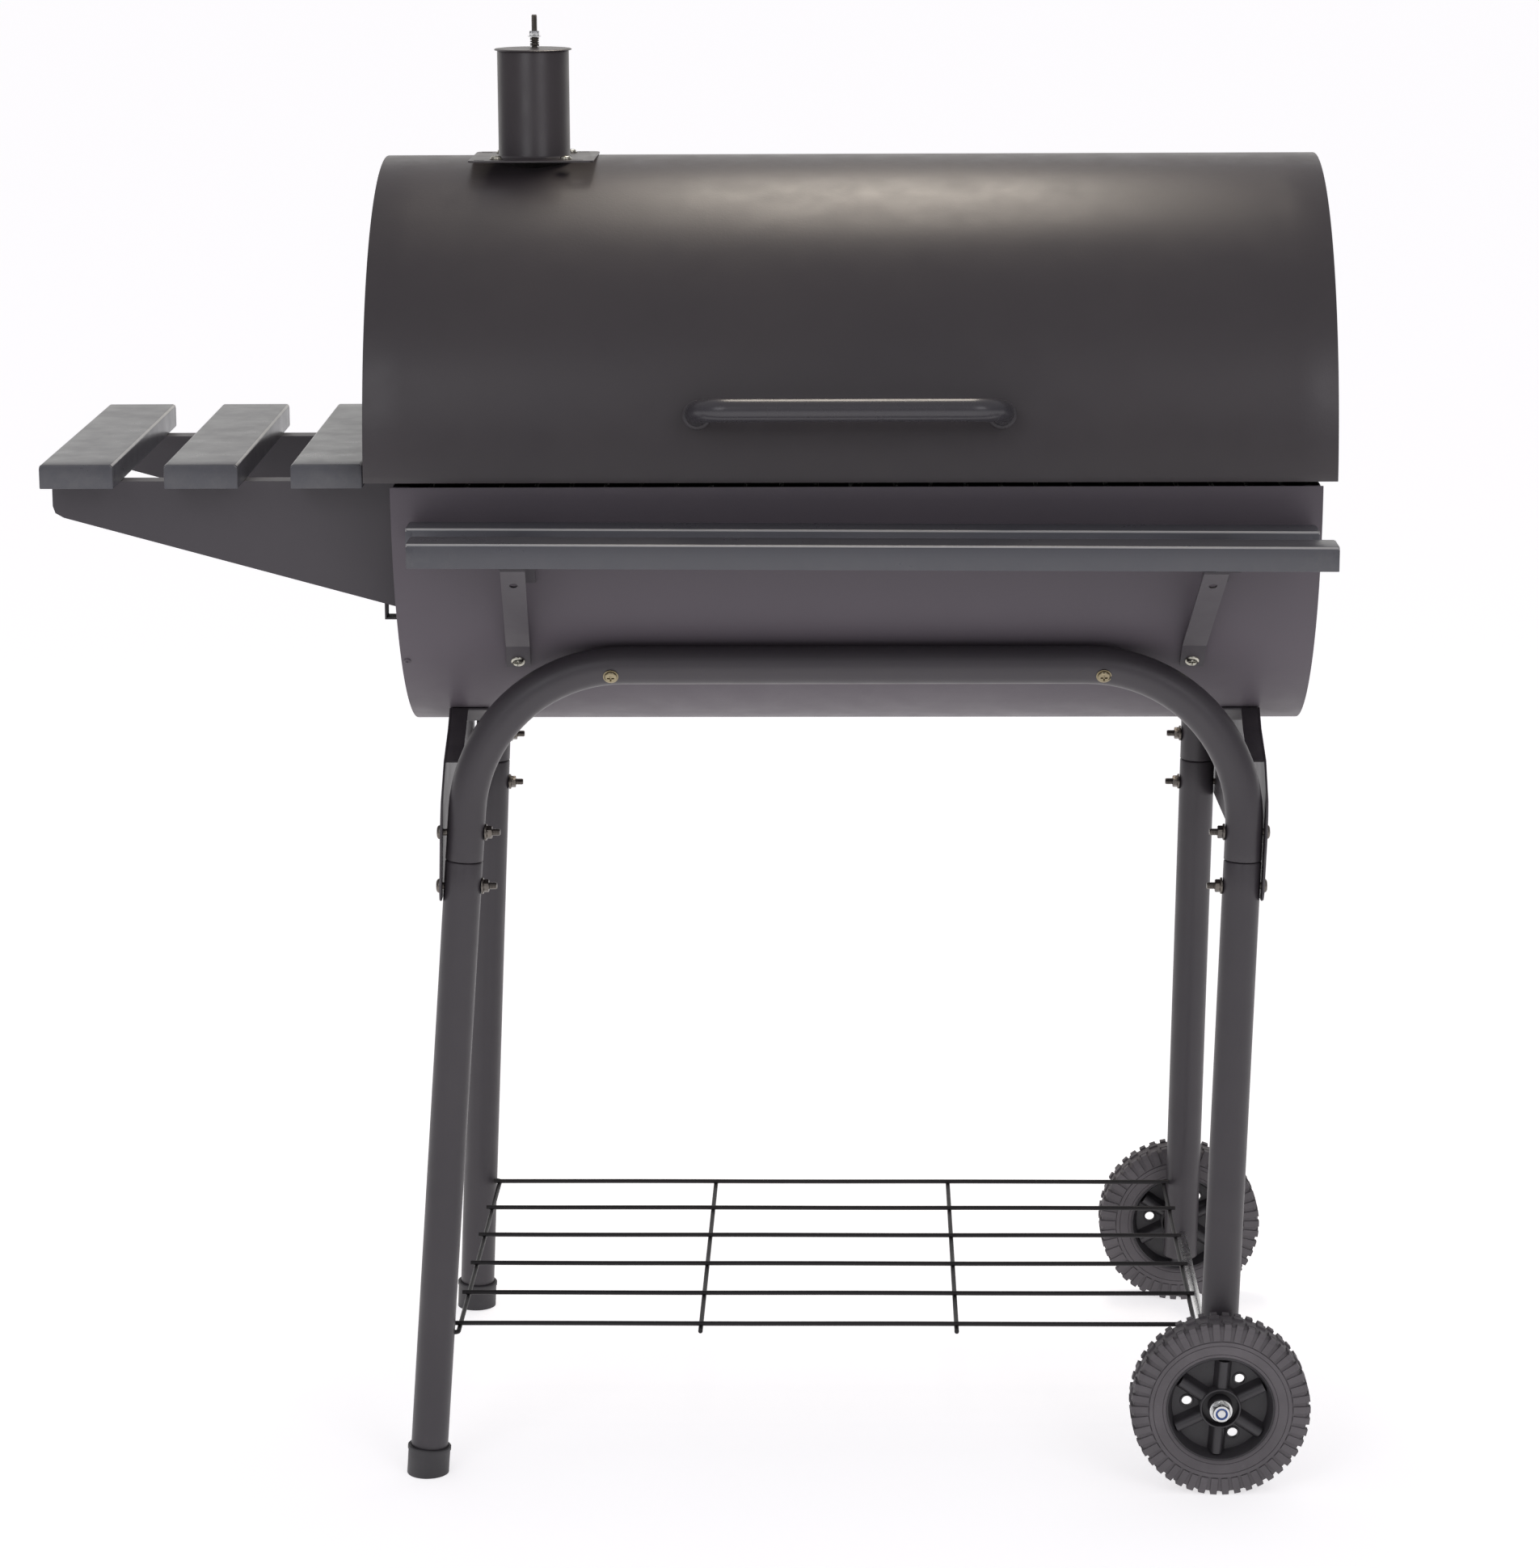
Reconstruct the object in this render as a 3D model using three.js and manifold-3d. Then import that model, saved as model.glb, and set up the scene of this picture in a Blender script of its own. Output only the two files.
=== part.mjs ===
// Barrel charcoal grill on a bent-tube stand with two wheels.
// Millimetres, +Z up, front towards -Y, +X to the right.
// The origin is the centre of the bounding box's bottom face, on the ground.
import * as THREE from 'three';
import { mergeVertices } from 'three/addons/utils/BufferGeometryUtils.js';
import Module from 'manifold-3d';

const wasm = await Module();
wasm.setup();

// ---- driving dimensions -------------------------------------------------
const SHEET = 1.5;            // sheet steel of the barrel, lid and brackets
const GAP = 0.3;              // air between touching pieces

const AXIS_Z = 870;           // height of the barrel's axis
const BARREL_R = 242;
const BARREL_LENGTH = 764;
const BARREL_TOP_Z = 864;     // rim of the lower half
const LID_R = 245.5;
const LID_LENGTH = 797;
const LID_X = -5;             // the lid overhangs further on the left
const LID_BOTTOM_Z = 868;

const TUBE_R = 15.9;
const TUBE_WALL = 1.6;
const FRAME_BEND_R = 133;
const FRAME_TOP_Z = 708;
const FRAME_CLEAR_R = BARREL_R + TUBE_R + GAP;
const FRAME_TOP_Y = Math.sqrt(FRAME_CLEAR_R ** 2 - (AXIS_Z - FRAME_TOP_Z) ** 2);
const LEG_SPLAY = 0.03;       // outward drift in y for each mm down
const SPLICE_Z = 542;
const BOLT_Z_UPPER = 566;
const BOLT_Z_LOWER = 520;
const BOLT_R = 3;
const FOOT_CAP_H = 24;
const FOOT_CAP_R = 18;

const GROUND_Z = 3;           // the heights above are measured from 3 mm below the ground
const WHEEL_R = 76.2;
const WHEEL_WIDTH = 36;
const AXLE_R = 4;
const AXLE_X = 308.5;
const AXLE_Z = GROUND_Z + WHEEL_R;

const WIRE_R = 2;
const WIRE_SHELF_Z = 132;
const WIRE_PITCH = 82;
const WIRE_COUNT = 6;

const SHELF_TOP_Z = 879;      // side shelf
const SLAT_H = 20;
const SIDE_SLAT_LENGTH = 384;
const SIDE_SLAT_Y = -20;
const SIDE_SLATS = [
  { name: 'side_slat_outer', x: -647, width: 61 },
  { name: 'side_slat_middle', x: -543.5, width: 61 },
  { name: 'side_slat_inner', x: -439.5, width: 59 },
];
const SIDE_SLAT_TURN = 0.6; // degrees: they sit a little askew on their brackets
const BRACKET_Y = [-168, 128];
const BRACKET_TIP_X = -673;

const FRONT_SHELF_TOP_Z = 834.9;
const FRONT_SHELF_TILT = 0.3;     // degrees, left end up
const FRONT_SLAT_LENGTH = 742;
const FRONT_SLAT_H = 20;
const FRONT_SLATS = [
  { name: 'front_slat_inner', x: 5, y: -264, width: 36 },
  { name: 'front_slat_outer', x: 13, y: -341, width: 39 },
];
const ARM_X = [-274.5, 297];
// Diagonal straps: x, the y where each crosses that x, and sideways drift per mm of y.
const STRUTS = [{ x: -278, y: -276.5, drift: -0.055 }, { x: 284, y: -251, drift: -0.04 }];
const ARM_WIDTH = 20;

const HANDLE_R = 9.5;
const HANDLE_LENGTH = 268;
const HANDLE_STANDOFF = 45;
const HANDLE_BEND_R = 26;
const HANDLE_Z = 923;

const CHIMNEY_X = -274;
const CHIMNEY_Y = -28;
const PIPE_R = 30.5;
const PIPE_TOP_Z = 1206.5;
const FLANGE_SIZE = 106;
const FLANGE_TOP_Z = AXIS_Z + LID_R + GAP + SHEET;
const CAP_R = 33;
const DAMPER_BACK = 21;       // damper bolt, behind the pipe's centre
const DAMPER_TOP_Z = 1235.5;

const GRATE_Z = 842;
const GRATE_BAR_R = 2.5;
const COAL_GRATE_Z = 728;

const HINGE_X = [-230, 230];
const HINGE_Y = BARREL_R + 12;
const HINGE_Z = 866;
const KNUCKLE_R = 5;
const PIN_R = 2.5;

// ---- materials ----------------------------------------------------------
function material(name, colour, roughness, metalness) {
  const m = new THREE.MeshStandardMaterial({ color: colour, roughness, metalness });
  m.name = name;
  return m;
}
const PAINT = material('satin_black_paint', 0x4a474a, 0.5, 0.3);
const SLAT_PAINT = material('slat_paint', 0x54585a, 0.5, 0.3);
const PLASTIC = material('black_plastic', 0x2c2b2c, 0.8, 0.0);
const ZINC = material('zinc', 0xb5b8bb, 0.35, 0.9);
const DARK_SCREW = material('black_screw', 0x2b2826, 0.4, 0.8);
const GRATE = material('grate_steel', 0x3c3a3a, 0.6, 0.5);

// ---- helpers ------------------------------------------------------------
function solid(geometry) {
  const g = geometry.clone();
  g.deleteAttribute('normal');
  g.deleteAttribute('uv');
  const merged = mergeVertices(g.index ? g.toNonIndexed() : g, 1e-4);
  const p = merged.attributes.position.array;
  const t = merged.index.array;
  const mesh = new wasm.Mesh({
    numProp: 3,
    vertProperties: Float32Array.from(p),
    triVerts: Uint32Array.from(t),
  });
  return new wasm.Manifold(mesh);
}

function union(geometries) {
  let out = solid(geometries[0]);
  for (const g of geometries.slice(1)) out = out.add(solid(g));
  return out;
}

function toGeometry(manifold) {
  const mesh = manifold.getMesh();
  const g = new THREE.BufferGeometry();
  g.setAttribute('position', new THREE.BufferAttribute(Float32Array.from(mesh.vertProperties), 3));
  g.setIndex(new THREE.BufferAttribute(Uint32Array.from(mesh.triVerts), 1));
  const flat = g.toNonIndexed();
  flat.computeVertexNormals();
  return flat;
}

const group = new THREE.Group();
group.name = 'barrel_charcoal_grill';

function addNode(name, shape, mat) {
  const geometry = shape.isBufferGeometry ? shape : toGeometry(shape);
  const mesh = new THREE.Mesh(geometry, mat);
  mesh.name = name;
  group.add(mesh);
  return mesh;
}

function box(x0, x1, y0, y1, z0, z1) {
  const g = new THREE.BoxGeometry(x1 - x0, y1 - y0, z1 - z0);
  g.translate((x0 + x1) / 2, (y0 + y1) / 2, (z0 + z1) / 2);
  return g;
}

// Moves a shape modelled along +Z from the origin so it runs from a to b.
function aim(geometry, a, b) {
  const dir = b.clone().sub(a).normalize();
  const q = new THREE.Quaternion().setFromUnitVectors(new THREE.Vector3(0, 0, 1), dir);
  geometry.applyQuaternion(q);
  geometry.translate(a.x, a.y, a.z);
  return geometry;
}

function v3(x, y, z) {
  return new THREE.Vector3(x, y, z);
}

// Round bar from a to b.
function rod(a, b, radius, segments = 8) {
  const length = a.distanceTo(b);
  const g = new THREE.CylinderGeometry(radius, radius, length, segments);
  g.rotateX(Math.PI / 2);
  g.translate(0, 0, length / 2);
  return aim(g, a, b);
}

// Turned shape: profile points are (radius, distance along the line a to b).
function turned(profile, a, b, segments = 20) {
  const points = profile.map(([r, z]) => new THREE.Vector2(r, z));
  const g = new THREE.LatheGeometry(points, segments);
  g.rotateX(Math.PI / 2);
  return aim(g, a, b);
}

function fixWinding(geometry) {
  const m = solid(geometry);
  if (m.volume() > 0) return m;
  const g = geometry.index ? geometry.toNonIndexed() : geometry.clone();
  const p = g.attributes.position.array;
  for (let i = 0; i < p.length; i += 9) {
    for (let k = 0; k < 3; k += 1) {
      const keep = p[i + 3 + k];
      p[i + 3 + k] = p[i + 6 + k];
      p[i + 6 + k] = keep;
    }
  }
  return solid(g);
}

// Sector of a ring about the barrel's axis, run along X. Angles in degrees,
// 0 at the rear rim, 90 at the top, 180 at the front rim, 270 at the bottom.
function shellSector(rIn, rOut, from, to, x0, x1, segments) {
  const shape = new THREE.Shape();
  const at = (r, deg) => [r * Math.cos(deg * Math.PI / 180), r * Math.sin(deg * Math.PI / 180)];
  for (let i = 0; i <= segments; i += 1) {
    const [a, b] = at(rOut, from + (to - from) * i / segments);
    if (i === 0) shape.moveTo(a, b);
    else shape.lineTo(a, b);
  }
  for (let i = segments; i >= 0; i -= 1) {
    const [a, b] = at(rIn, from + (to - from) * i / segments);
    shape.lineTo(a, b);
  }
  shape.closePath();
  return alongX(shape, x0, x1);
}

// Extrudes a shape drawn in (y, z about the barrel axis) along X.
function alongX(shape, x0, x1) {
  const g = new THREE.ExtrudeGeometry(shape, { depth: x1 - x0, bevelEnabled: false });
  const m = new THREE.Matrix4().makeBasis(v3(0, 1, 0), v3(0, 0, 1), v3(1, 0, 0));
  g.applyMatrix4(m);
  g.translate(x0, 0, AXIS_Z);
  return g;
}

// Extrudes a shape drawn in (x, z) along Y.
function alongY(shape, y0, y1) {
  const g = new THREE.ExtrudeGeometry(shape, { depth: y1 - y0, bevelEnabled: false });
  g.rotateX(Math.PI / 2);
  g.translate(0, y1, 0);
  return g;
}

function polygon(points) {
  const shape = new THREE.Shape();
  points.forEach(([a, b], i) => (i === 0 ? shape.moveTo(a, b) : shape.lineTo(a, b)));
  shape.closePath();
  return shape;
}

// Path through fixed stations, for sweeping a tube round bends.
class StationPath extends THREE.Curve {
  constructor(points) {
    super();
    this.points = points;
  }

  getPoint(t, target = new THREE.Vector3()) {
    const s = t * (this.points.length - 1);
    const i = Math.min(Math.floor(s + 1e-9), this.points.length - 2);
    return target.copy(this.points[i]).lerp(this.points[i + 1], s - i);
  }

  getPointAt(u, target) {
    return this.getPoint(u, target);
  }

  getTangentAt(u, target = new THREE.Vector3()) {
    const n = this.points.length;
    const i = Math.round(u * (n - 1));
    const before = this.points[Math.max(i - 1, 0)];
    const after = this.points[Math.min(i + 1, n - 1)];
    const here = this.points[i];
    const a = here.clone().sub(before).normalize();
    const b = after.clone().sub(here).normalize();
    return target.copy(a.add(b).normalize());
  }
}

function circleShape(r, hole, segments) {
  const ring = (radius) => {
    const pts = [];
    for (let i = 0; i < segments; i += 1) {
      const a = 2 * Math.PI * i / segments;
      pts.push(new THREE.Vector2(radius * Math.cos(a), radius * Math.sin(a)));
    }
    return pts;
  };
  const shape = new THREE.Shape(ring(r));
  if (hole > 0) shape.holes.push(new THREE.Path(ring(hole)));
  return shape;
}

function sweep(points, radius, hole, segments) {
  return new THREE.ExtrudeGeometry(circleShape(radius, hole, segments), {
    steps: points.length - 1,
    extrudePath: new StationPath(points),
    bevelEnabled: false,
    curveSegments: segments,
  });
}

// Stations of a U: up from (x0, s0), round two bends, down to (x1, s0),
// in a plane given by the function place(x, s).
function uStations(x0, x1, s0, s1, bend, place, steps) {
  const pts = [place(x0, s0)];
  for (let i = 0; i <= steps; i += 1) {
    const a = Math.PI / 2 * i / steps;
    pts.push(place(x0 + bend * (1 - Math.cos(a)), s1 - bend * (1 - Math.sin(a))));
  }
  for (let i = 0; i <= steps; i += 1) {
    const a = Math.PI / 2 * (1 - i / steps);
    pts.push(place(x1 - bend * (1 - Math.cos(a)), s1 - bend * (1 - Math.sin(a))));
  }
  pts.push(place(x1, s0));
  return pts;
}

// ---- stand --------------------------------------------------------------
const SIDES = [
  { end: 'front', sign: -1, left: -330, right: 324.3, foot: -370.5 },
  { end: 'rear', sign: 1, left: -338.7, right: 316, foot: -365 },
];

function legY(sign, z) {
  return sign * (FRAME_TOP_Y + (FRAME_TOP_Z - z) * LEG_SPLAY);
}

function boltsAt(side, left) {
  const out = left ? -1 : 1;
  return [BOLT_Z_UPPER, BOLT_Z_LOWER].map((z) => (
    { x: legX(side, left, z), y: legY(side.sign, z), z, out }));
}

// Change of a leg's x per millimetre of height.
function legLean(side, left) {
  return left ? (side.left - side.foot) / SPLICE_Z : (side.right - AXLE_X) / (SPLICE_Z - AXLE_Z);
}

// The straight line of a leg, which runs on up into the frame tube.
function legX(side, left, z) {
  return (left ? side.left : side.right) + legLean(side, left) * (z - SPLICE_Z);
}

// Stations of one end of the frame tube, from below the splice up to the top run.
function frameEnd(side, left, steps) {
  const out = left ? -1 : 1;
  const lean = Math.atan(out * legLean(side, left));
  const centreZ = FRAME_TOP_Z - FRAME_BEND_R;
  const tangentZ = centreZ - FRAME_BEND_R * Math.sin(lean);
  const centreX = legX(side, left, tangentZ) - out * FRAME_BEND_R * Math.cos(lean);
  const start = SPLICE_Z - 4;
  const pts = [v3(legX(side, left, start), legY(side.sign, start), start)];
  for (let i = 0; i <= steps; i += 1) {
    const a = -lean + (Math.PI / 2 + lean) * i / steps;
    const z = centreZ + FRAME_BEND_R * Math.sin(a);
    pts.push(v3(centreX + out * FRAME_BEND_R * Math.cos(a), legY(side.sign, z), z));
  }
  return pts;
}

function boltHole(b) {
  return solid(rod(v3(b.x - 40, b.y, b.z), v3(b.x + 40, b.y, b.z), BOLT_R + 2 * GAP, 6));
}

function frameTube(side) {
  const pts = [...frameEnd(side, true, 5), ...frameEnd(side, false, 5).reverse()];
  const above = solid(box(-900, 900, -900, 900, SPLICE_Z + GAP, 900));
  let tube = fixWinding(sweep(pts, TUBE_R, TUBE_R - TUBE_WALL, 12)).intersect(above);
  for (const left of [true, false]) tube = tube.subtract(boltHole(boltsAt(side, left)[0]));
  return tube;
}

// Lower leg: a tube with a narrower neck that slides up into the frame tube.
function lowerLeg(side, left) {
  const zEnd = left ? GROUND_Z + 3.5 : AXLE_Z - 24;
  const zOver = SPLICE_Z + 4;
  const a = v3(legX(side, left, zEnd), legY(side.sign, zEnd), zEnd);
  const b = v3(legX(side, left, zOver), legY(side.sign, zOver), zOver);
  const length = a.distanceTo(b);
  const inner = TUBE_R - TUBE_WALL;
  const below = solid(box(-900, 900, -900, 900, -1, SPLICE_Z));
  const body = turned([[inner, 0], [TUBE_R, 0], [TUBE_R, length], [inner, length], [inner, 0]], a, b, 12);
  const neckOut = inner - GAP - 0.5;
  const neckIn = neckOut - TUBE_WALL;
  const at = (z) => v3(legX(side, left, z), legY(side.sign, z), z);
  const neckLength = at(SPLICE_Z - 1).distanceTo(at(SPLICE_Z + 34));
  const neck = turned([[neckIn, 0], [neckOut, 0], [neckOut, neckLength],
    [neckIn, neckLength], [neckIn, 0]], at(SPLICE_Z - 1), at(SPLICE_Z + 34), 12);
  const collar = turned([[neckIn, 0], [TUBE_R - 0.6, 0], [TUBE_R - 0.6, 5], [neckIn, 5], [neckIn, 0]],
    at(SPLICE_Z - 3), at(SPLICE_Z), 12);
  let leg = fixWinding(body).intersect(below).add(fixWinding(neck)).add(fixWinding(collar).intersect(below));
  for (const bolt of boltsAt(side, left)) leg = leg.subtract(boltHole(bolt));
  if (!left) {
    const y = legY(side.sign, AXLE_Z);
    leg = leg.subtract(solid(rod(v3(AXLE_X, y - 30, AXLE_Z), v3(AXLE_X, y + 30, AXLE_Z), AXLE_R + 2 * GAP, 8)));
  }
  const hook = hookPoint(side, left);
  const inward = left ? 1 : -1;
  leg = leg.subtract(solid(rod(v3(hook.x + inward * 12, hook.y, hook.z),
    v3(hook.x - inward * 9, hook.y, hook.z), WIRE_R + 2 * GAP, 6)));
  return leg;
}

// Point where the wire shelf's hook crosses the inner wall of a leg.
function hookPoint(side, left) {
  const z = WIRE_SHELF_Z - 2 * WIRE_R + 0.4;
  const inward = left ? 1 : -1;
  return v3(legX(side, left, z) + inward * TUBE_R, legY(side.sign, z), z);
}

function footCap(side) {
  const z = FOOT_CAP_H;
  const top = GROUND_Z + z;
  const a = v3(legX(side, true, GROUND_Z), legY(side.sign, GROUND_Z), GROUND_Z);
  const b = v3(legX(side, true, top), legY(side.sign, top), top);
  const inner = TUBE_R + 2.5 * GAP;
  const cup = turned([[0, -3], [FOOT_CAP_R, -3], [FOOT_CAP_R, z], [inner, z], [inner, 3], [0, 3]], a, b, 16);
  return fixWinding(cup).intersect(solid(box(-900, 900, -900, 900, GROUND_Z, 60)));
}

// Carriage bolt through brace and leg, with its nut on the inner side.
function spliceBolt(b) {
  const web = webX(b.out, b.y, b.z) + b.out * 2;
  const head = Math.abs(web - b.x) + 2.5 * GAP;
  const a = v3(b.x + b.out * (head + 3.2), b.y, b.z);
  const end = v3(b.x - b.out * (TUBE_R + 13), b.y, b.z);
  const length = a.distanceTo(end);
  const nut = length - 13 + 3 * GAP;
  const profile = [[0, 0], [4, 0.6], [6.2, 3.2], [BOLT_R, 3.2], [BOLT_R, nut],
    [6, nut], [6, nut + 5], [BOLT_R, nut + 5], [BOLT_R, length], [0, length]];
  return fixWinding(turned(profile, a, end, 8));
}

// Inner face of an end brace: it leans a little and follows the rear frame's offset.
const BRACES = {
  left: { x: -353.2, lean: 0.03, skew: -0.0205 },
  right: { x: 335.7, lean: 0.036, skew: -0.0185 },
};
const BRACE_LOW_Z = SPLICE_Z - 34;

function webX(out, y, z) {
  const b = out < 0 ? BRACES.left : BRACES.right;
  return b.x + b.lean * (z - BRACE_LOW_Z) + b.skew * y;
}

// End brace: a web outside the legs, a saddle under the barrel, and
// return flanges on its front and rear edges.
function endBrace(out) {
  const tip = 27;
  const tipR = BARREL_R + 0.9;
  const tipY = tipR * Math.sin(tip * Math.PI / 180);
  const tipZ = -tipR * Math.cos(tip * Math.PI / 180);
  const low = BRACE_LOW_Z - AXIS_Z;
  const foot = legYAbs(SPLICE_Z) + 14;
  const shoulder = 588 - AXIS_Z;
  const pts = [[-foot + 8, low], [foot - 8, low], [foot, low + 8], [foot, shoulder - 22],
    [foot - 8, shoulder + 6], [foot - 40, shoulder + 34], [tipY + 22, tipZ - 14], [tipY, tipZ]];
  const arc = 12;
  for (let i = 1; i < arc; i += 1) {
    const a = (tip - 2 * tip * i / arc) * Math.PI / 180;
    pts.push([tipR * Math.sin(a), -tipR * Math.cos(a)]);
  }
  pts.push([-tipY, tipZ], [-tipY - 22, tipZ - 14], [-foot + 40, shoulder + 34],
    [-foot + 8, shoulder + 6], [-foot, shoulder - 22], [-foot, low + 8]);
  const at = out < 0 ? BRACES.left : BRACES.right;
  const x = at.x;
  const web = alongX(polygon(pts), Math.min(x, x + out * 2), Math.max(x, x + out * 2));
  const inner = x - out * 32;
  const saddle = shellSector(tipR, tipR + 2, 270 - tip, 270 + tip,
    Math.min(inner, x + out * 2), Math.max(inner, x + out * 2), arc);
  let brace = solid(web).add(fixWinding(saddle));
  for (const sign of [-1, 1]) {
    const path = [[tipY, tipZ], [tipY + 22, tipZ - 14], [foot - 40, shoulder + 34],
      [foot - 40 - 1.5, shoulder + 32.5], [tipY + 21, tipZ - 16], [tipY, tipZ - 2.4]];
    const flange = polygon(path.map(([a, b]) => [sign * a, b]));
    const f0 = x - out * 14;
    const strip = alongX(flange, Math.min(f0, x + out * 2), Math.max(f0, x + out * 2));
    brace = brace.add(fixWinding(strip));
  }
  const shear = new THREE.Matrix4().set(1, at.skew, at.lean, -at.lean * BRACE_LOW_Z,
    0, 1, 0, 0, 0, 0, 1, 0, 0, 0, 0, 1);
  let drilled = brace.transform(shear.toArray());
  for (const side of SIDES) {
    for (const b of boltsAt(side, out < 0)) drilled = drilled.subtract(boltHole(b));
  }
  return drilled;
}

function legYAbs(z) {
  return FRAME_TOP_Y + (FRAME_TOP_Z - z) * LEG_SPLAY;
}

function buildStand() {
  for (const side of SIDES) {
    addNode(`${side.end}_leg_frame`, frameTube(side), PAINT);
    for (const left of [true, false]) {
      const hand = left ? 'left' : 'right';
      addNode(`${side.end}_${hand}_leg`, lowerLeg(side, left), PAINT);
      boltsAt(side, left).forEach((b, i) => {
        const level = i === 0 ? 'upper' : 'lower';
        addNode(`splice_bolt_${side.end}_${hand}_${level}`, spliceBolt(b), DARK_SCREW);
      });
    }
    addNode(`${side.end}_foot_cap`, footCap(side), PLASTIC);
  }
  addNode('left_end_brace', endBrace(-1), PAINT);
  addNode('right_end_brace', endBrace(1), PAINT);
}

// ---- wheels -------------------------------------------------------------
const WHEEL_INNER_Y = legYAbs(AXLE_Z) + TUBE_R + 2.5;
const WHEEL_Y = WHEEL_INNER_Y + WHEEL_WIDTH / 2;

function tyre(sign) {
  const w = WHEEL_WIDTH / 2;
  const a = v3(AXLE_X, sign * WHEEL_Y - 1, AXLE_Z);
  const b = v3(AXLE_X, sign * WHEEL_Y + 1, AXLE_Z);
  const z0 = 1 - w;
  const z1 = 1 + w;
  const profile = [[46, z0 + 3], [60, z0], [72, z0 + 3.5], [WHEEL_R, z0 + 10], [WHEEL_R, z1 - 10],
    [72, z1 - 3.5], [60, z1], [46, z1 - 3], [46, z0 + 3]];
  return fixWinding(turned(profile, a, b, 28));
}

function hub(sign) {
  const w = WHEEL_WIDTH / 2;
  const y = sign * WHEEL_Y;
  const a = v3(AXLE_X, y, AXLE_Z);
  const b = v3(AXLE_X, y + 1, AXLE_Z);
  const bore = AXLE_R + 0.3;
  const profile = [[bore, -w], [17.5, -w], [17.5, -2.5], [41, -2.5], [41, -w + 4], [45.7, -w + 4],
    [45.7, w - 4], [41, w - 4], [41, 2.5], [17.5, 2.5], [17.5, w], [bore, w], [bore, -w]];
  let wheel = fixWinding(turned(profile, a, b, 18));
  for (let i = 0; i < 6; i += 1) {
    const t = (26 + 60 * i) * Math.PI / 180;
    const at = (r) => v3(AXLE_X + r * Math.cos(t), y, AXLE_Z + r * Math.sin(t));
    wheel = wheel.add(solid(rod(at(15), at(43), 6, 4)));
  }
  for (let i = 0; i < 3; i += 1) {
    const t = (54 + 120 * i) * Math.PI / 180;
    const x = AXLE_X + 28 * Math.cos(t);
    const z = AXLE_Z + 28 * Math.sin(t);
    wheel = wheel.subtract(solid(rod(v3(x, y - 9, z), v3(x, y + 9, z), 4.3, 6)));
  }
  return wheel;
}

function axle() {
  const end = WHEEL_INNER_Y + WHEEL_WIDTH + 12;
  const rodBody = rod(v3(AXLE_X, -end, AXLE_Z), v3(AXLE_X, end, AXLE_Z), AXLE_R, 18);
  return solid(rodBody);
}

function axleNut(sign) {
  const face = sign * (WHEEL_INNER_Y + WHEEL_WIDTH + GAP);
  const disc = (radius, from, to, n) => {
    const g = new THREE.ExtrudeGeometry(circleShape(radius, 0, n), {
      depth: to - from, bevelEnabled: false });
    return g.translate(0, 0, from);
  };
  const parts = [disc(9, 0, 1.2, 12), disc(7.5, 1, 7, 6), disc(5.9, 6.8, 8.6, 12)];
  const a = v3(AXLE_X, face, AXLE_Z);
  const b = v3(AXLE_X, face + sign, AXLE_Z);
  const bore = rod(v3(AXLE_X, face - sign, AXLE_Z), v3(AXLE_X, face + 12 * sign, AXLE_Z), AXLE_R + 0.35, 12);
  return union(parts.map((g) => aim(g, a, b))).subtract(solid(bore));
}

function buildWheels() {
  addNode('axle', axle(), ZINC);
  for (const side of SIDES) {
    addNode(`${side.end}_tyre`, tyre(side.sign), PLASTIC);
    addNode(`${side.end}_hub`, hub(side.sign), PLASTIC);
    addNode(`${side.end}_axle_nut`, axleNut(side.sign), ZINC);
  }
}

// ---- wire shelf ---------------------------------------------------------
function wireShelf() {
  const z = WIRE_SHELF_Z;
  const under = z - 2 * WIRE_R + 0.4;
  const wires = [];
  const left = (y) => hookPoint(SIDES[y < 0 ? 0 : 1], true).x + WIRE_R + 1;
  const right = (y) => hookPoint(SIDES[y < 0 ? 0 : 1], false).x - WIRE_R - 1;
  const reach = WIRE_PITCH * (WIRE_COUNT - 1) / 2;
  for (let i = 0; i < WIRE_COUNT; i += 1) {
    const y = -reach + WIRE_PITCH * i;
    wires.push(rod(v3(left(y) - 6, y, z), v3(right(y) + 6, y, z), WIRE_R, 6));
  }
  for (const x of [-134, 86]) {
    wires.push(rod(v3(x, -reach - 10, under), v3(x, reach + 6, under), WIRE_R, 6));
  }
  for (const isLeft of [true, false]) {
    const front = hookPoint(SIDES[0], isLeft);
    const rear = hookPoint(SIDES[1], isLeft);
    const inward = isLeft ? 1 : -1;
    const offset = inward * (WIRE_R + 1);
    const path = [v3(front.x - inward * 5, front.y, under), v3(front.x + offset, front.y, under),
      v3(rear.x + offset, rear.y, under), v3(rear.x - inward * 5, rear.y, under)];
    wires.push(rod(path[1].clone().setY(front.y - WIRE_R), path[2].clone().setY(rear.y + WIRE_R), WIRE_R, 6));
    wires.push(rod(path[0], path[1].clone().add(v3(inward * 0.5, 0, 0)), WIRE_R, 6));
    wires.push(rod(path[3], path[2].clone().add(v3(inward * 0.5, 0, 0)), WIRE_R, 6));
  }
  return union(wires);
}

// ---- firebox ------------------------------------------------------------
const RIM_ANGLE = Math.asin((AXIS_Z - BARREL_TOP_Z) / BARREL_R) * 180 / Math.PI;
const LID_ANGLE = -Math.asin((AXIS_Z - LID_BOTTOM_Z) / LID_R) * 180 / Math.PI;

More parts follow.
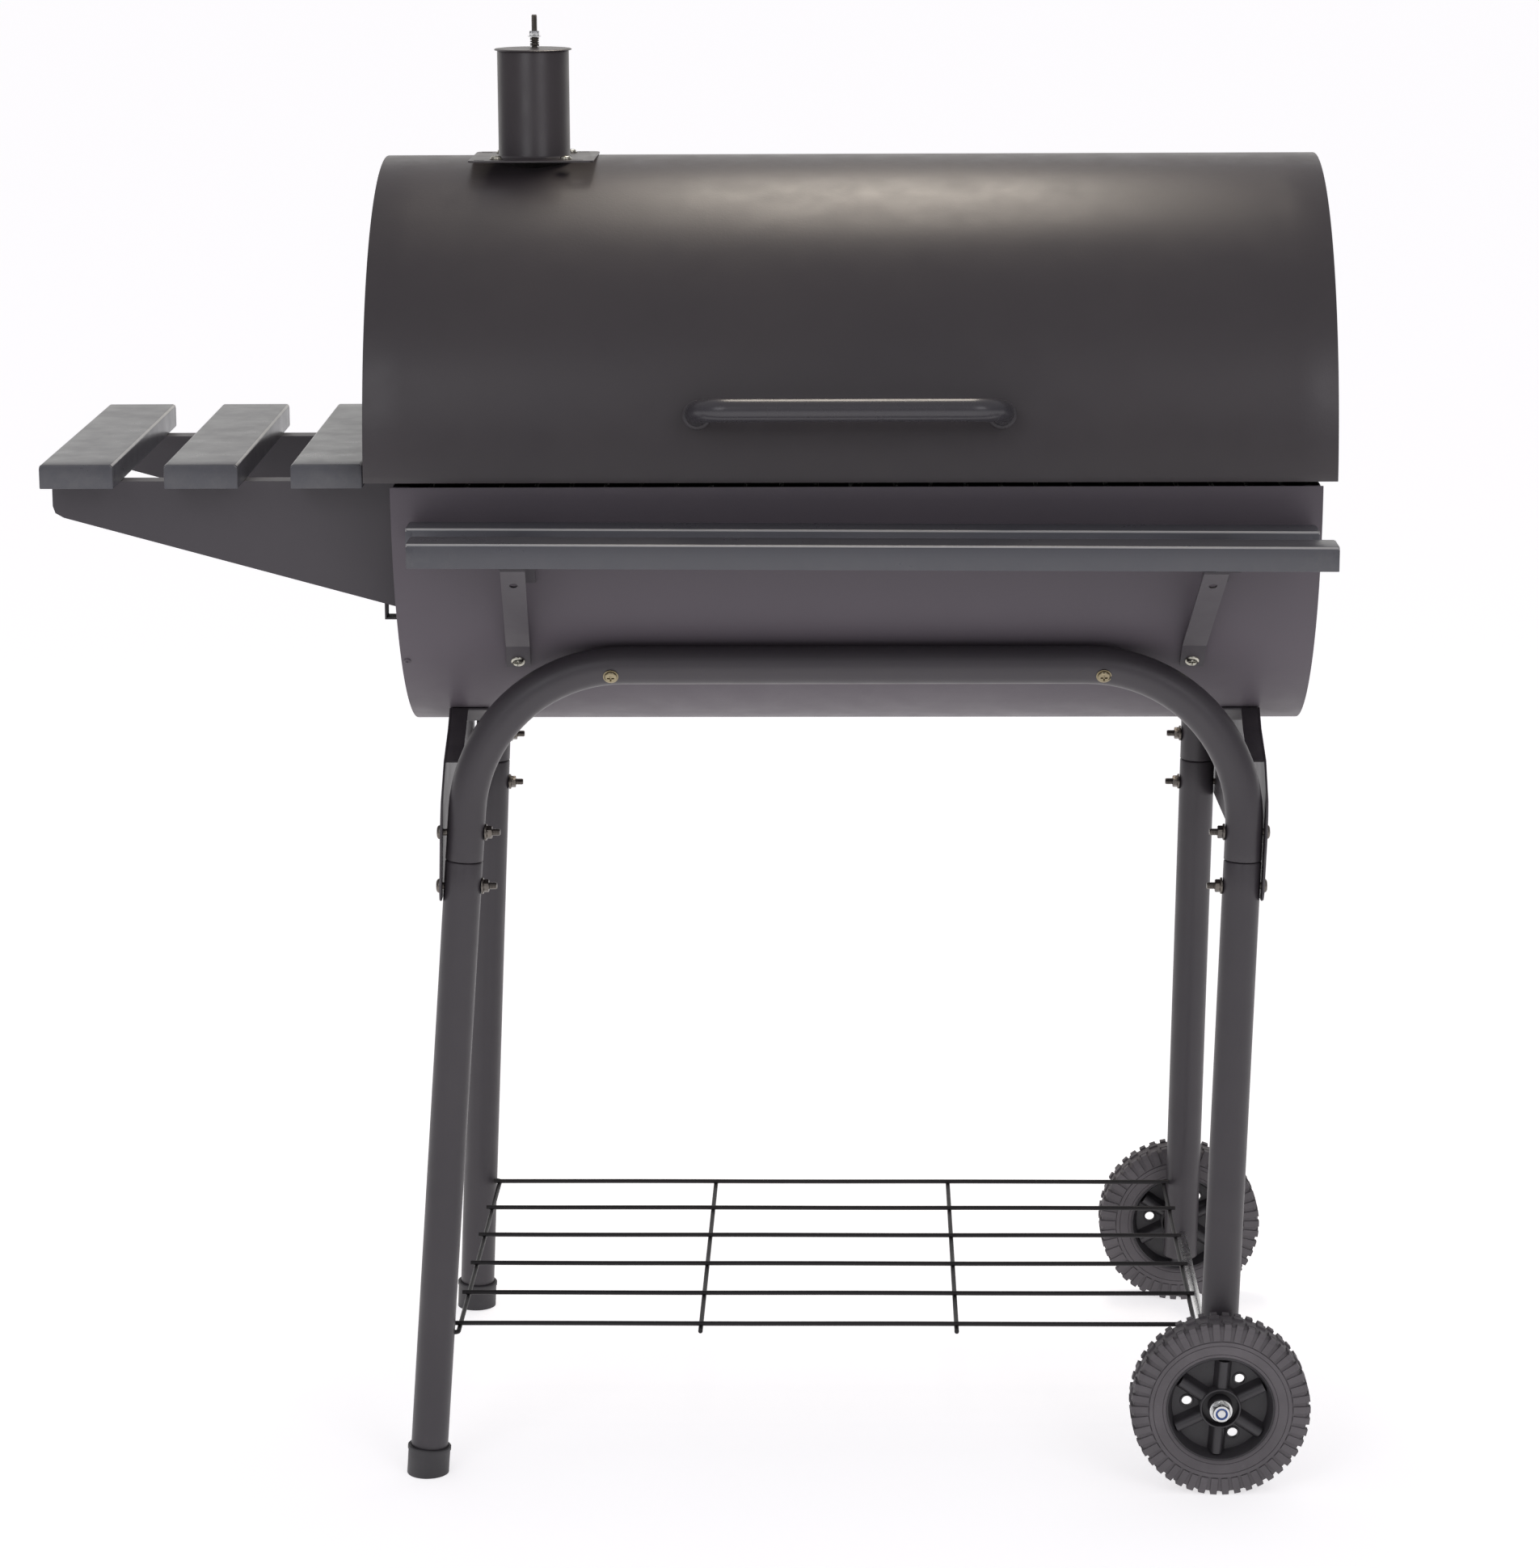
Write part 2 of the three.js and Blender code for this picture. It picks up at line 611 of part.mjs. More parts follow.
// Half-disc end panel with an inward flange. side is -1 left, +1 right.
function endPanel(radius, from, to, xOut, side, flange, segments) {
  const inner = shellSector(0.01, radius, from, to, 0, SHEET, segments);
  const rim = shellSector(radius - SHEET, radius, from, to, 0, flange, segments);
  const zMin = from < 90 ? LID_BOTTOM_Z : 0;
  const zMax = from < 90 ? 2000 : BARREL_TOP_Z;
  const keep = solid(box(-50, 50, -900, 900, zMin, zMax));
  const panel = fixWinding(inner).add(fixWinding(rim)).intersect(keep);
  const flip = new THREE.Matrix4().makeScale(-side, 1, 1);
  const g = toGeometry(panel);
  g.applyMatrix4(flip);
  g.translate(xOut, 0, 0);
  return fixWinding(g);
}

function buildBarrel() {
  const half = BARREL_LENGTH / 2;
  const from = 180 + RIM_ANGLE;
  const to = 360 - RIM_ANGLE;
  const shell = shellSector(BARREL_R - SHEET, BARREL_R, from, to, -half, half, 26);
  addNode('barrel_shell', fixWinding(shell), PAINT);
  const r = BARREL_R - SHEET - 3.5 * GAP;
  let left = endPanel(r, 178, 362, -half + 2, -1, 14, 24);
  for (const y of VENT_HOLES) {
    left = left.subtract(solid(rod(v3(-half - 9, y, VENT_Z), v3(-half + 9, y, VENT_Z), VENT_HOLE_R, 12)));
  }
  addNode('barrel_end_left', left, PAINT);
  addNode('barrel_end_right', endPanel(r, 178, 362, half - 2, 1, 14, 24), PAINT);
}

// ---- air inlet on the left end -------------------------------------------
const VENT_Z = 755;
const VENT_HOLE_R = 13;
const VENT_HOLES = [-112, -78];
const VENT_FACE_X = -BARREL_LENGTH / 2 + 2;
const PULL_TOP = 12.5;          // the bent pull, from the air inlet's height
const PULL_BOTTOM = -20;

// Sliding air inlet: two folded rails with a stop, and a plate with a bent pull.
function buildVent() {
  const x = VENT_FACE_X - GAP;
  const y0 = -142;
  const y1 = 18;
  const depth = 7;
  const rails = [1, -1].flatMap((dir) => {
    const span = (from, to) => [VENT_Z + Math.min(dir * from, dir * to),
      VENT_Z + Math.max(dir * from, dir * to)];
    return [box(x - depth, x, y0, y1, ...span(24, 26)), box(x - depth, x - depth + SHEET, y0, y1, ...span(20, 26))];
  });
  const stop = box(x - depth, x, y0, y0 + 3, VENT_Z - 25, VENT_Z + 25);
  addNode('vent_guide', union([...rails, stop]), PAINT);
  const plate = box(x - 5, x - 3.2, y0 + 6, y0 + 82, VENT_Z - 23.5, VENT_Z + 23.5);
  const pull = [y0 + 8, y0 + 28];
  const reach = x - 19.5;
  const sides = [PULL_TOP - SHEET, PULL_BOTTOM].map((z) =>
    box(reach, x - 4, ...pull, VENT_Z + z, VENT_Z + z + SHEET));
  const front = box(reach, reach + SHEET, ...pull, VENT_Z + PULL_BOTTOM, VENT_Z + PULL_TOP);
  addNode('vent_shutter', union([plate, ...sides, front]), PAINT);
}

// ---- grates -------------------------------------------------------------
function barGrate(x0, x1, halfDepth, z, pitch) {
  const parts = [];
  const r = GRATE_BAR_R;
  const frame = [[x0, -halfDepth, x1, -halfDepth], [x0, halfDepth, x1, halfDepth],
    [x0, -halfDepth, x0, halfDepth], [x1, -halfDepth, x1, halfDepth]];
  for (const [a, b, c, d] of frame) {
    const lap = a === c ? [0, r] : [r, 0];
    parts.push(box(Math.min(a, c) - (lap[0] || r), Math.max(a, c) + (lap[0] || r),
      Math.min(b, d) - (lap[1] || r), Math.max(b, d) + (lap[1] || r), z - r, z + r));
  }
  const count = Math.round((x1 - x0) / pitch);
  for (let i = 1; i < count; i += 1) {
    const x = x0 + (x1 - x0) * i / count;
    parts.push(box(x - r, x + r, -halfDepth, halfDepth, z - r + 0.5, z + r - 0.5));
  }
  return union(parts);
}

function buildGrates() {
  const half = BARREL_LENGTH / 2;
  const inside = half - 20;
  addNode('cooking_grate_left', barGrate(-inside, -4, 206, GRATE_Z, 30), GRATE);
  addNode('cooking_grate_right', barGrate(4, inside, 206, GRATE_Z, 30), GRATE);
  addNode('charcoal_grate', barGrate(-inside, inside, 186, COAL_GRATE_Z, 40), GRATE);
  for (const side of SIDES) {
    const y = side.sign * 196;
    const rest = box(-inside - 2, inside + 2, y - 8, y + 8, GRATE_Z - 4.6, GRATE_Z - 2.8);
    const lip = box(-inside - 2, inside + 2, y - 1, y + 1, GRATE_Z - 16, GRATE_Z - 3.2);
    addNode(`${side.end}_grate_rest`, union([rest, lip]), PAINT);
  }
}

// ---- side shelf ---------------------------------------------------------
// Inverted channel with closed ends, top face at zTop.
function channelSlat(cx, cy, lx, ly, height, zTop) {
  const outer = solid(box(cx - lx / 2, cx + lx / 2, cy - ly / 2, cy + ly / 2, zTop - height, zTop));
  const w = SHEET;
  const hollow = solid(box(cx - lx / 2 + w, cx + lx / 2 - w, cy - ly / 2 + w, cy + ly / 2 - w,
    zTop - height - 1, zTop - w));
  return outer.subtract(hollow);
}

function sideBracket(y, flangeDir) {
  const top = SHELF_TOP_Z - SLAT_H - GAP;
  const root = VENT_FACE_X - GAP;
  const web = polygon([[BRACKET_TIP_X + 5, top], [root, top], [root, 750.5], [BRACKET_TIP_X + 9, 828],
    [BRACKET_TIP_X + 2, 832], [BRACKET_TIP_X, 838], [BRACKET_TIP_X, top - 6]]);
  const y0 = Math.min(y, y + flangeDir * SHEET);
  const plate = fixWinding(alongY(web, y0, y0 + SHEET));
  const f0 = Math.min(y, y + flangeDir * 22);
  const flange = solid(box(BRACKET_TIP_X + 5, root, f0, f0 + 22, top - SHEET, top));
  const seat = solid(box(root - SHEET, root, f0, f0 + 22, 751.5, top));
  return plate.add(flange).add(seat);
}

function buildSideShelf() {
  for (const s of SIDE_SLATS) {
    const slat = channelSlat(0, 0, s.width, SIDE_SLAT_LENGTH, SLAT_H, SHELF_TOP_Z);
    addNode(s.name, slat.rotate([0, 0, SIDE_SLAT_TURN]).translate([s.x, SIDE_SLAT_Y, 0]), SLAT_PAINT);
  }
  addNode('side_bracket_front', sideBracket(BRACKET_Y[0], 1), PAINT);
  addNode('side_bracket_rear', sideBracket(BRACKET_Y[1], -1), PAINT);
}

// ---- front shelf --------------------------------------------------------
function barrelY(z, extra) {
  return -Math.sqrt((BARREL_R + extra) ** 2 - (z - AXIS_Z) ** 2);
}

// Height of the slats' top faces at x.
function frontShelfTop(x) {
  return FRONT_SHELF_TOP_Z - x * Math.tan(FRONT_SHELF_TILT * Math.PI / 180);
}

// Flat arm from the barrel's front face under both slats.
function shelfArm(x) {
  const z = frontShelfTop(x) - FRONT_SLAT_H - GAP;
  const x0 = x - ARM_WIDTH / 2;
  const x1 = x + ARM_WIDTH / 2;
  const root = barrelY(z, GAP);
  const arm = solid(box(x0, x1, -352, root + 4, z - 2, z));
  const foot = fixWinding(shellSector(BARREL_R + GAP, BARREL_R + GAP + 2, 193, 201, x0, x1, 4));
  const clear = solid(shellSector(0.01, BARREL_R + GAP, 150, 240, x0 - 5, x1 + 5, 45));
  return arm.add(foot).subtract(clear);
}

// Diagonal strap from the barrel up to the outer slat.
function shelfStrut(strut) {
  const x = strut.x;
  const zTop = frontShelfTop(x + ARM_WIDTH) - FRONT_SLAT_H - GAP - 2 - GAP;
  const a = (180 + 36.5) * Math.PI / 180;
  const r = BARREL_R + GAP;
  const foot = [r * Math.cos(a), AXIS_Z + r * Math.sin(a)];
  const low = (180 + 43.3) * Math.PI / 180;
  const tail = [r * Math.cos(low), AXIS_Z + r * Math.sin(low)];
  const t = 2;
  const pts = [[-346, zTop], [-326, zTop], [-326, zTop - t], [-341, zTop - t],
    [foot[0] - 1.2, foot[1] - 1], [tail[0], tail[1]], [tail[0] - 1.6, tail[1] - 1.8],
    [foot[0] - 3.4, foot[1] - 2.6], [-346, zTop - t]];
  const shape = polygon(pts.map(([y, z]) => [y, z - AXIS_Z]));
  const strap = fixWinding(alongX(shape, x - ARM_WIDTH / 2, x + ARM_WIDTH / 2));
  const clear = solid(shellSector(0.01, BARREL_R + GAP, 200, 250, x - 20, x + 20, 30));
  const hole = solid(rod(v3(x, -345, 790), v3(x, -300, 800), 3.5, 10));
  const shear = new THREE.Matrix4().set(1, strut.drift, 0, -strut.drift * strut.y,
    0, 1, 0, 0, 0, 0, 1, 0, 0, 0, 0, 1);
  return strap.subtract(clear).subtract(hole).transform(shear.toArray());
}

function buildFrontShelf() {
  for (const s of FRONT_SLATS) {
    const slat = channelSlat(0, 0, FRONT_SLAT_LENGTH, s.width, FRONT_SLAT_H, 0).rotate([0, FRONT_SHELF_TILT, 0]);
    addNode(s.name, slat.translate([s.x, s.y, frontShelfTop(s.x)]), SLAT_PAINT);
  }
  ARM_X.forEach((x, i) => {
    const hand = i === 0 ? 'left' : 'right';
    addNode(`front_arm_${hand}`, shelfArm(x), PAINT);
    addNode(`front_strut_${hand}`, shelfStrut(STRUTS[i]), PAINT);
  });
}

// ---- lid ----------------------------------------------------------------
function buildLid() {
  const x0 = LID_X - LID_LENGTH / 2;
  const x1 = LID_X + LID_LENGTH / 2;
  let shell = fixWinding(shellSector(LID_R - SHEET, LID_R, LID_ANGLE, 180 - LID_ANGLE, x0, x1, 28));
  const draw = v3(CHIMNEY_X, CHIMNEY_Y, 1080);
  shell = shell.subtract(solid(rod(draw, draw.clone().setZ(1130), PIPE_R - 3, 16)));
  addNode('lid_shell', shell, PAINT);
  const r = LID_R - SHEET - 3.5 * GAP;
  addNode('lid_end_left', endPanel(r, -2, 182, x0 + 2, -1, 10, 24), PAINT);
  addNode('lid_end_right', endPanel(r, -2, 182, x1 - 2, 1, 10, 24), PAINT);
}

function handle() {
  const rise = Math.asin((HANDLE_Z - AXIS_Z) / LID_R);
  const place = (x, s) => v3(LID_X + x, -Math.cos(rise) * s, AXIS_Z + Math.sin(rise) * s);
  const end = HANDLE_LENGTH / 2 - HANDLE_R;
  const pts = uStations(-end, end, LID_R + 2.5, LID_R + HANDLE_STANDOFF, HANDLE_BEND_R, place, 4);
  let grip = fixWinding(sweep(pts, HANDLE_R, 0, 10));
  for (const x of [-end, end]) {
    const a = place(x, LID_R + 0.6);
    const b = place(x, LID_R + 3.5);
    grip = grip.add(solid(rod(a, b, HANDLE_R + 2.5, 10)));
  }
  return grip;
}

function chimney() {
  const pipe = new THREE.ExtrudeGeometry(circleShape(PIPE_R, PIPE_R - SHEET, 20), {
    depth: PIPE_TOP_Z - FLANGE_TOP_Z + 1, bevelEnabled: false });
  pipe.translate(CHIMNEY_X, CHIMNEY_Y, FLANGE_TOP_Z - 1);
  const s = FLANGE_SIZE / 2;
  const plate = solid(box(CHIMNEY_X - s, CHIMNEY_X + s, CHIMNEY_Y - s, CHIMNEY_Y + s,
    FLANGE_TOP_Z - SHEET, FLANGE_TOP_Z));
  const bore = v3(CHIMNEY_X, CHIMNEY_Y, FLANGE_TOP_Z - 9);
  const open = solid(rod(bore, bore.clone().setZ(FLANGE_TOP_Z + 9), PIPE_R - SHEET - 0.01, 20));
  const tabY = CHIMNEY_Y + DAMPER_BACK;
  const tab = box(CHIMNEY_X - 7, CHIMNEY_X + 7, tabY - 7, CHIMNEY_Y + PIPE_R - 0.7,
    PIPE_TOP_Z - 10, PIPE_TOP_Z - 8);
  const hole = solid(rod(v3(CHIMNEY_X, tabY, PIPE_TOP_Z - 14), v3(CHIMNEY_X, tabY, PIPE_TOP_Z), 2.8, 10));
  return plate.subtract(open).add(fixWinding(pipe)).add(solid(tab).subtract(hole));
}

function damper() {
  const y = CHIMNEY_Y + DAMPER_BACK;
  const at = (z) => v3(CHIMNEY_X, y, z);
  const capZ = PIPE_TOP_Z + GAP;
  const disc = solid(rod(v3(CHIMNEY_X, CHIMNEY_Y, capZ), v3(CHIMNEY_X, CHIMNEY_Y, capZ + SHEET), CAP_R, 24));
  const bore = solid(rod(at(capZ - 2), at(capZ + 4), 2.55, 12));
  addNode('chimney_cap', disc.subtract(bore), PAINT);
  const bolt = [[0, -14], [4.5, -14], [4.5, -11], [2.5, -11], [2.5, DAMPER_TOP_Z - capZ],
    [0, DAMPER_TOP_Z - capZ]].map(([r, s]) => [r, s]);
  addNode('damper_bolt', fixWinding(turned(bolt, at(capZ), at(capZ + 1), 12)), DARK_SCREW);
  const base = capZ + SHEET + GAP;
  const spring = [[2.9, 0], [5, 0], [5, 8], [2.9, 8], [2.9, 0]];
  addNode('damper_spring', fixWinding(turned(spring, at(base), at(base + 1), 12)), DARK_SCREW);
  const nut = [[2.7, 8.3], [5.6, 8.3], [5.6, 9.3], [4.6, 9.3], [4.6, 13.5], [2.7, 13.5], [2.7, 8.3]];
  addNode('damper_nut', fixWinding(turned(nut, at(base), at(base + 1), 12)), ZINC);
}

// ---- hinges -------------------------------------------------------------
function ringX(x0, x1, outer, inner) {
  const g = new THREE.ExtrudeGeometry(circleShape(outer, inner, 10), {
    depth: x1 - x0, bevelEnabled: false });
  g.rotateY(Math.PI / 2);
  return g.translate(x0, HINGE_Y, HINGE_Z);
}

function buildHinges() {
  HINGE_X.forEach((x, i) => {
    const hand = i === 0 ? 'left' : 'right';
    const pin = rod(v3(x - 20, HINGE_Y, HINGE_Z), v3(x + 20, HINGE_Y, HINGE_Z), PIN_R, 10);
    const low = [ringX(x - 20, x - 9, KNUCKLE_R, 0), ringX(x + 9, x + 20, KNUCKLE_R, 0), pin];
    const arms = [[x - 20, x - 9], [x + 9, x + 20]].map(([a, b]) => box(a, b,
      BARREL_R + 1, HINGE_Y, HINGE_Z - 4.6, HINGE_Z - 3));
    const plate = box(x - 20, x + 20, BARREL_R + 1, BARREL_R + 2.6, HINGE_Z - 26, HINGE_Z - 3);
    addNode(`hinge_base_${hand}`, union([...low, ...arms, plate]), PAINT);
    const knuckle = fixWinding(ringX(x - 8.7, x + 8.7, KNUCKLE_R, PIN_R + 0.25));
    const leaf = box(x - 8.7, x + 8.7, LID_R + 1, LID_R + 2.6, HINGE_Z + 2, HINGE_Z + 26);
    const bridge = box(x - 8.7, x + 8.7, LID_R + 1, HINGE_Y, HINGE_Z + 3, HINGE_Z + 4.6);
    addNode(`hinge_leaf_${hand}`, knuckle.add(solid(leaf)).add(solid(bridge)), PAINT);
  });
}

// ---- assembly -----------------------------------------------------------
buildStand();
buildWheels();
addNode('wire_shelf', wireShelf(), PAINT);
buildBarrel();
buildVent();
buildGrates();
buildSideShelf();
buildFrontShelf();
buildLid();
addNode('lid_handle', handle(), PAINT);
addNode('chimney', chimney(), PAINT);
damper();
buildHinges();

// Moves everything so the origin is the bounding box's bottom centre.
const bounds = new THREE.Box3().setFromObject(group);
const shift = bounds.getCenter(new THREE.Vector3());
for (const mesh of group.children) {
  mesh.geometry.translate(-shift.x, -shift.y, -bounds.min.z);
}

export default group;
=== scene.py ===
# Barrel charcoal grill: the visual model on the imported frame.
import math
import bmesh
import bpy
from mathutils import Matrix, Vector


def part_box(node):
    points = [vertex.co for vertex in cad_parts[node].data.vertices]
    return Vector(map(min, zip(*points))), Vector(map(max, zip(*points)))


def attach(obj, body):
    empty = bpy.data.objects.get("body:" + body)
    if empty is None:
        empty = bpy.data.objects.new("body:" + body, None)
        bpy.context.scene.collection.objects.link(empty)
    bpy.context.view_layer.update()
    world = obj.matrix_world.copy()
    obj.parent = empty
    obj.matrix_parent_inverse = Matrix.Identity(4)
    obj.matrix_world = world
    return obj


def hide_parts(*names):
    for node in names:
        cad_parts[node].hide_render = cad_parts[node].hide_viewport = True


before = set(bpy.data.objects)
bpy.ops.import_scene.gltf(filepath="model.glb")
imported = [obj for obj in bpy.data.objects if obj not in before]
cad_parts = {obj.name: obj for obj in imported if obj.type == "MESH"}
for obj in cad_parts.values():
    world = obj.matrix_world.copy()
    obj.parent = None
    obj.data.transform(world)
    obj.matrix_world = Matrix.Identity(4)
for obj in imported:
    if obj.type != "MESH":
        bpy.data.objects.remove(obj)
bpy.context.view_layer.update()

# ---- the barrel's own frame: millimetres, x and y from the barrel's centre --
lo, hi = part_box("barrel_shell")
CENTRE_X = (lo.x + hi.x) * 500.0
CENTRE_Y = (lo.y + hi.y) * 500.0
AXIS_Z = 870.0
BARREL_R = 242.0
LID_R = 245.5
SHEET = 1.5
TUBE_R = 15.9
LID_X0, LID_X1 = -403.5, 393.5
BARREL_X0, BARREL_X1 = -382.0, 382.0
LID_Z, RIM_Z = 868.0, 864.0
FRAME_CLEAR_R = BARREL_R + TUBE_R + 0.3
TOP_Z = 708.0
TOP_Y = math.sqrt(FRAME_CLEAR_R ** 2 - (AXIS_Z - TOP_Z) ** 2)
BEND = 133.0
SPLICE = 542.0
SPLAY = 0.03                       # a leg's outward drift in y for each mm down
BOLT_Z = {"upper": 566.0, "lower": 520.0}
GROUND = 3.0                       # the ground's height in the barrel's frame
AXLE_X, WHEEL_R = 308.5, 76.2
WHEEL_WIDTH = 36.0
AXLE_Z = GROUND + WHEEL_R
# x of the left leg and the right leg at the splice, and of the foot
LEGS = {False: (-330.0, 324.3, -370.5), True: (-338.7, 316.0, -365.0)}
# end braces: x at the low edge, change of x with height, and with y
BRACES = {-1: (-353.2, 0.03, -0.0205), 1: (335.7, 0.036, -0.0185)}


def leg_y(z):
    return TOP_Y + (TOP_Z - z) * SPLAY


WHEEL_IN = leg_y(AXLE_Z) + TUBE_R + 2.5
WHEEL_Y = WHEEL_IN + WHEEL_WIDTH / 2


def leg_lean(rear, left):
    at_left, at_right, foot = LEGS[rear]
    return (at_left - foot) / SPLICE if left else (at_right - AXLE_X) / (SPLICE - AXLE_Z)


def leg_x(rear, left, z):
    return LEGS[rear][0 if left else 1] + leg_lean(rear, left) * (z - SPLICE)


def web_x(out, y, z):
    x, lean, skew = BRACES[out]
    return x + lean * (z - (SPLICE - 34)) + skew * y


# ---- mesh building -----------------------------------------------------------
class Shape:
    """Vertices in millimetres in the barrel's frame, and faces."""

    def __init__(self):
        self.v = []
        self.f = []

    def add(self, verts, faces):
        n = len(self.v)
        self.v += [Vector(p) for p in verts]
        self.f += [tuple(i + n for i in face) for face in faces]
        return self

    def join(self, other):
        return self.add(other.v, other.f)

    def moved(self, matrix):
        out = Shape()
        out.v = [matrix @ p for p in self.v]
        flip = matrix.to_3x3().determinant() < 0
        out.f = [tuple(reversed(f)) if flip else f for f in self.f]
        return out


def grid(rows, closed_u=False, closed_v=False):
    """rows[i][j] are points; i runs along v, j along u."""
    s = Shape()
    n, m = len(rows), len(rows[0])
    faces = []
    for i in range(n if closed_v else n - 1):
        for j in range(m if closed_u else m - 1):
            a, b = i * m + j, i * m + (j + 1) % m
            c, d = ((i + 1) % n) * m + (j + 1) % m, ((i + 1) % n) * m + j
            faces.append((a, b, c, d))
    return s.add([p for row in rows for p in row], faces)


def axes_for(direction):
    d = Vector(direction).normalized()
    ref = Vector((0, 0, 1)) if abs(d.z) < 0.9 else Vector((0, 1, 0))
    u = ref.cross(d).normalized()
    return u, d.cross(u).normalized(), d


def lathe(profile, origin, direction, segments=48, closed=False):
    """profile: (radius, distance) points. Ends on the axis or closes on itself."""
    u, w, d = axes_for(direction)
    o = Vector(origin)
    rows = []
    for i in range(segments):
        t = 2 * math.pi * i / segments
        r = u * math.cos(t) + w * math.sin(t)
        rows.append([o + r * p[0] + d * p[1] for p in profile])
    return grid(rows, closed_u=closed, closed_v=True)


def sweep(points, radius, sides=24):
    """Tube along points, with flat ends. radius is a number or one per point."""
    pts = [Vector(p) for p in points]
    radii = radius if isinstance(radius, (list, tuple)) else [radius] * len(pts)
    tangents = []
    for i in range(len(pts)):
        a = pts[min(i + 1, len(pts) - 1)] - pts[max(i - 1, 0)]
        tangents.append(a.normalized())
    u = axes_for(tangents[0])[0]
    rows = []
    for p, t, r in zip(pts, tangents, radii):
        u = (u - t * u.dot(t)).normalized()
        w = t.cross(u)
        rows.append([p + (u * math.cos(2 * math.pi * k / sides)
                          + w * math.sin(2 * math.pi * k / sides)) * r for k in range(sides)])
    s = grid(rows, closed_u=True)
    n = len(pts)
    s.f.append(tuple(reversed(range(sides))))
    s.f.append(tuple(range((n - 1) * sides, n * sides)))
    return s


def box(x0, x1, y0, y1, z0, z1):
    v = [(x, y, z) for x in (x0, x1) for y in (y0, y1) for z in (z0, z1)]
    f = [(0, 1, 3, 2), (4, 6, 7, 5), (0, 4, 5, 1), (2, 3, 7, 6), (0, 2, 6, 4), (1, 5, 7, 3)]
    return Shape().add(v, f)


def prism(outline, axis, a, b):
    """outline: 2-D points. axis 'x': (y, z); 'y': (x, z); 'z': (x, y)."""
    def place(p, t):
        if axis == "x":
            return (t, p[0], p[1])
        if axis == "y":
            return (p[0], t, p[1])
        return (p[0], p[1], t)
    n = len(outline)
    v = [place(p, a) for p in outline] + [place(p, b) for p in outline]
    f = [tuple(range(n)), tuple(reversed(range(n, 2 * n)))]
    f += [(i, n + i, n + (i + 1) % n, (i + 1) % n) for i in range(n)]
    return Shape().add(v, f)


def polar(r, deg):
    """Point about the barrel's axis; 0 rear, 90 top, 180 front, 270 bottom."""
    t = math.radians(deg)
    return r * math.cos(t), AXIS_Z + r * math.sin(t)


def sector(profile, a0, a1, n):
    """Closed profile of (x, radius) turned about the barrel's axis from a0 to a1."""
    rows = []
    for i in range(n + 1):
        deg = a0 + (a1 - a0) * i / n
        rows.append([(x, *polar(r, deg)) for x, r in profile])
    s = grid(rows, closed_u=True)
    m = len(profile)
    s.f.append(tuple(reversed(range(m))))
    s.f.append(tuple(range(n * m, (n + 1) * m)))
    return s


MATERIALS = {}


def to_metres(p):
    return Vector(((p.x + CENTRE_X) / 1000, (p.y + CENTRE_Y) / 1000, (p.z - GROUND) / 1000))


def make(name, shape, body, material, replaces=(), bevel=0.0, angle=32, segs=2, trim=None, weld=True):
    me = bpy.data.meshes.new(name)
    me.from_pydata([to_metres(p) for p in shape.v], [], shape.f)
    bm = bmesh.new()
    bm.from_mesh(me)
    if weld:
        bmesh.ops.remove_doubles(bm, verts=bm.verts, dist=2e-6)
    bmesh.ops.dissolve_degenerate(bm, edges=bm.edges, dist=1e-7)
    if trim:
        co, no = to_metres(Vector(trim[0])), Vector(trim[1])
        geom = bm.verts[:] + bm.edges[:] + bm.faces[:]
        cut = bmesh.ops.bisect_plane(bm, geom=geom, plane_co=co, plane_no=no, clear_outer=True)
        edges = [e for e in cut["geom_cut"] if isinstance(e, bmesh.types.BMEdge)]
        bmesh.ops.holes_fill(bm, edges=edges, sides=0)
    bmesh.ops.recalc_face_normals(bm, faces=bm.faces)
    if bevel:
        sharp = [e for e in bm.edges if e.is_manifold and e.calc_face_angle(0) > math.radians(angle)]
        if sharp:
            bmesh.ops.bevel(bm, geom=sharp, offset=bevel / 1000, segments=segs, profile=0.6,
                            affect="EDGES", clamp_overlap=True)
    bm.to_mesh(me)
    bm.free()
    me.shade_smooth()
    me.set_sharp_from_angle(angle=math.radians(38))
    ob = bpy.data.objects.new(name, me)
    bpy.context.scene.collection.objects.link(ob)
    me.materials.append(MATERIALS[material])
    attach(ob, body)
    if replaces:
        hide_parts(*replaces)
    return ob


def cut_with(ob, cutters):
    """Subtracts shapes from a finished piece."""
    me = bpy.data.meshes.new("cutter")
    bm = bmesh.new()
    for c in cutters:
        part = bpy.data.meshes.new("c")
        part.from_pydata([to_metres(p) for p in c.v], [], c.f)
        bm.from_mesh(part)
        bpy.data.meshes.remove(part)
    bmesh.ops.remove_doubles(bm, verts=bm.verts, dist=2e-6)
    bmesh.ops.recalc_face_normals(bm, faces=bm.faces)
    bm.to_mesh(me)
    bm.free()
    tool = bpy.data.objects.new("cutter", me)
    bpy.context.scene.collection.objects.link(tool)
    mod = ob.modifiers.new("cut", "BOOLEAN")
    mod.object = tool
    mod.solver = "EXACT"
    mod.operation = "DIFFERENCE"
    bpy.context.view_layer.update()
    done = bpy.data.meshes.new_from_object(ob.evaluated_get(bpy.context.evaluated_depsgraph_get()))
    old = ob.data
    ob.modifiers.clear()
    ob.data = done
    bpy.data.meshes.remove(old)
    bpy.data.objects.remove(tool)
    bpy.data.meshes.remove(me)
    done.shade_smooth()
    done.set_sharp_from_angle(angle=math.radians(38))
    return ob


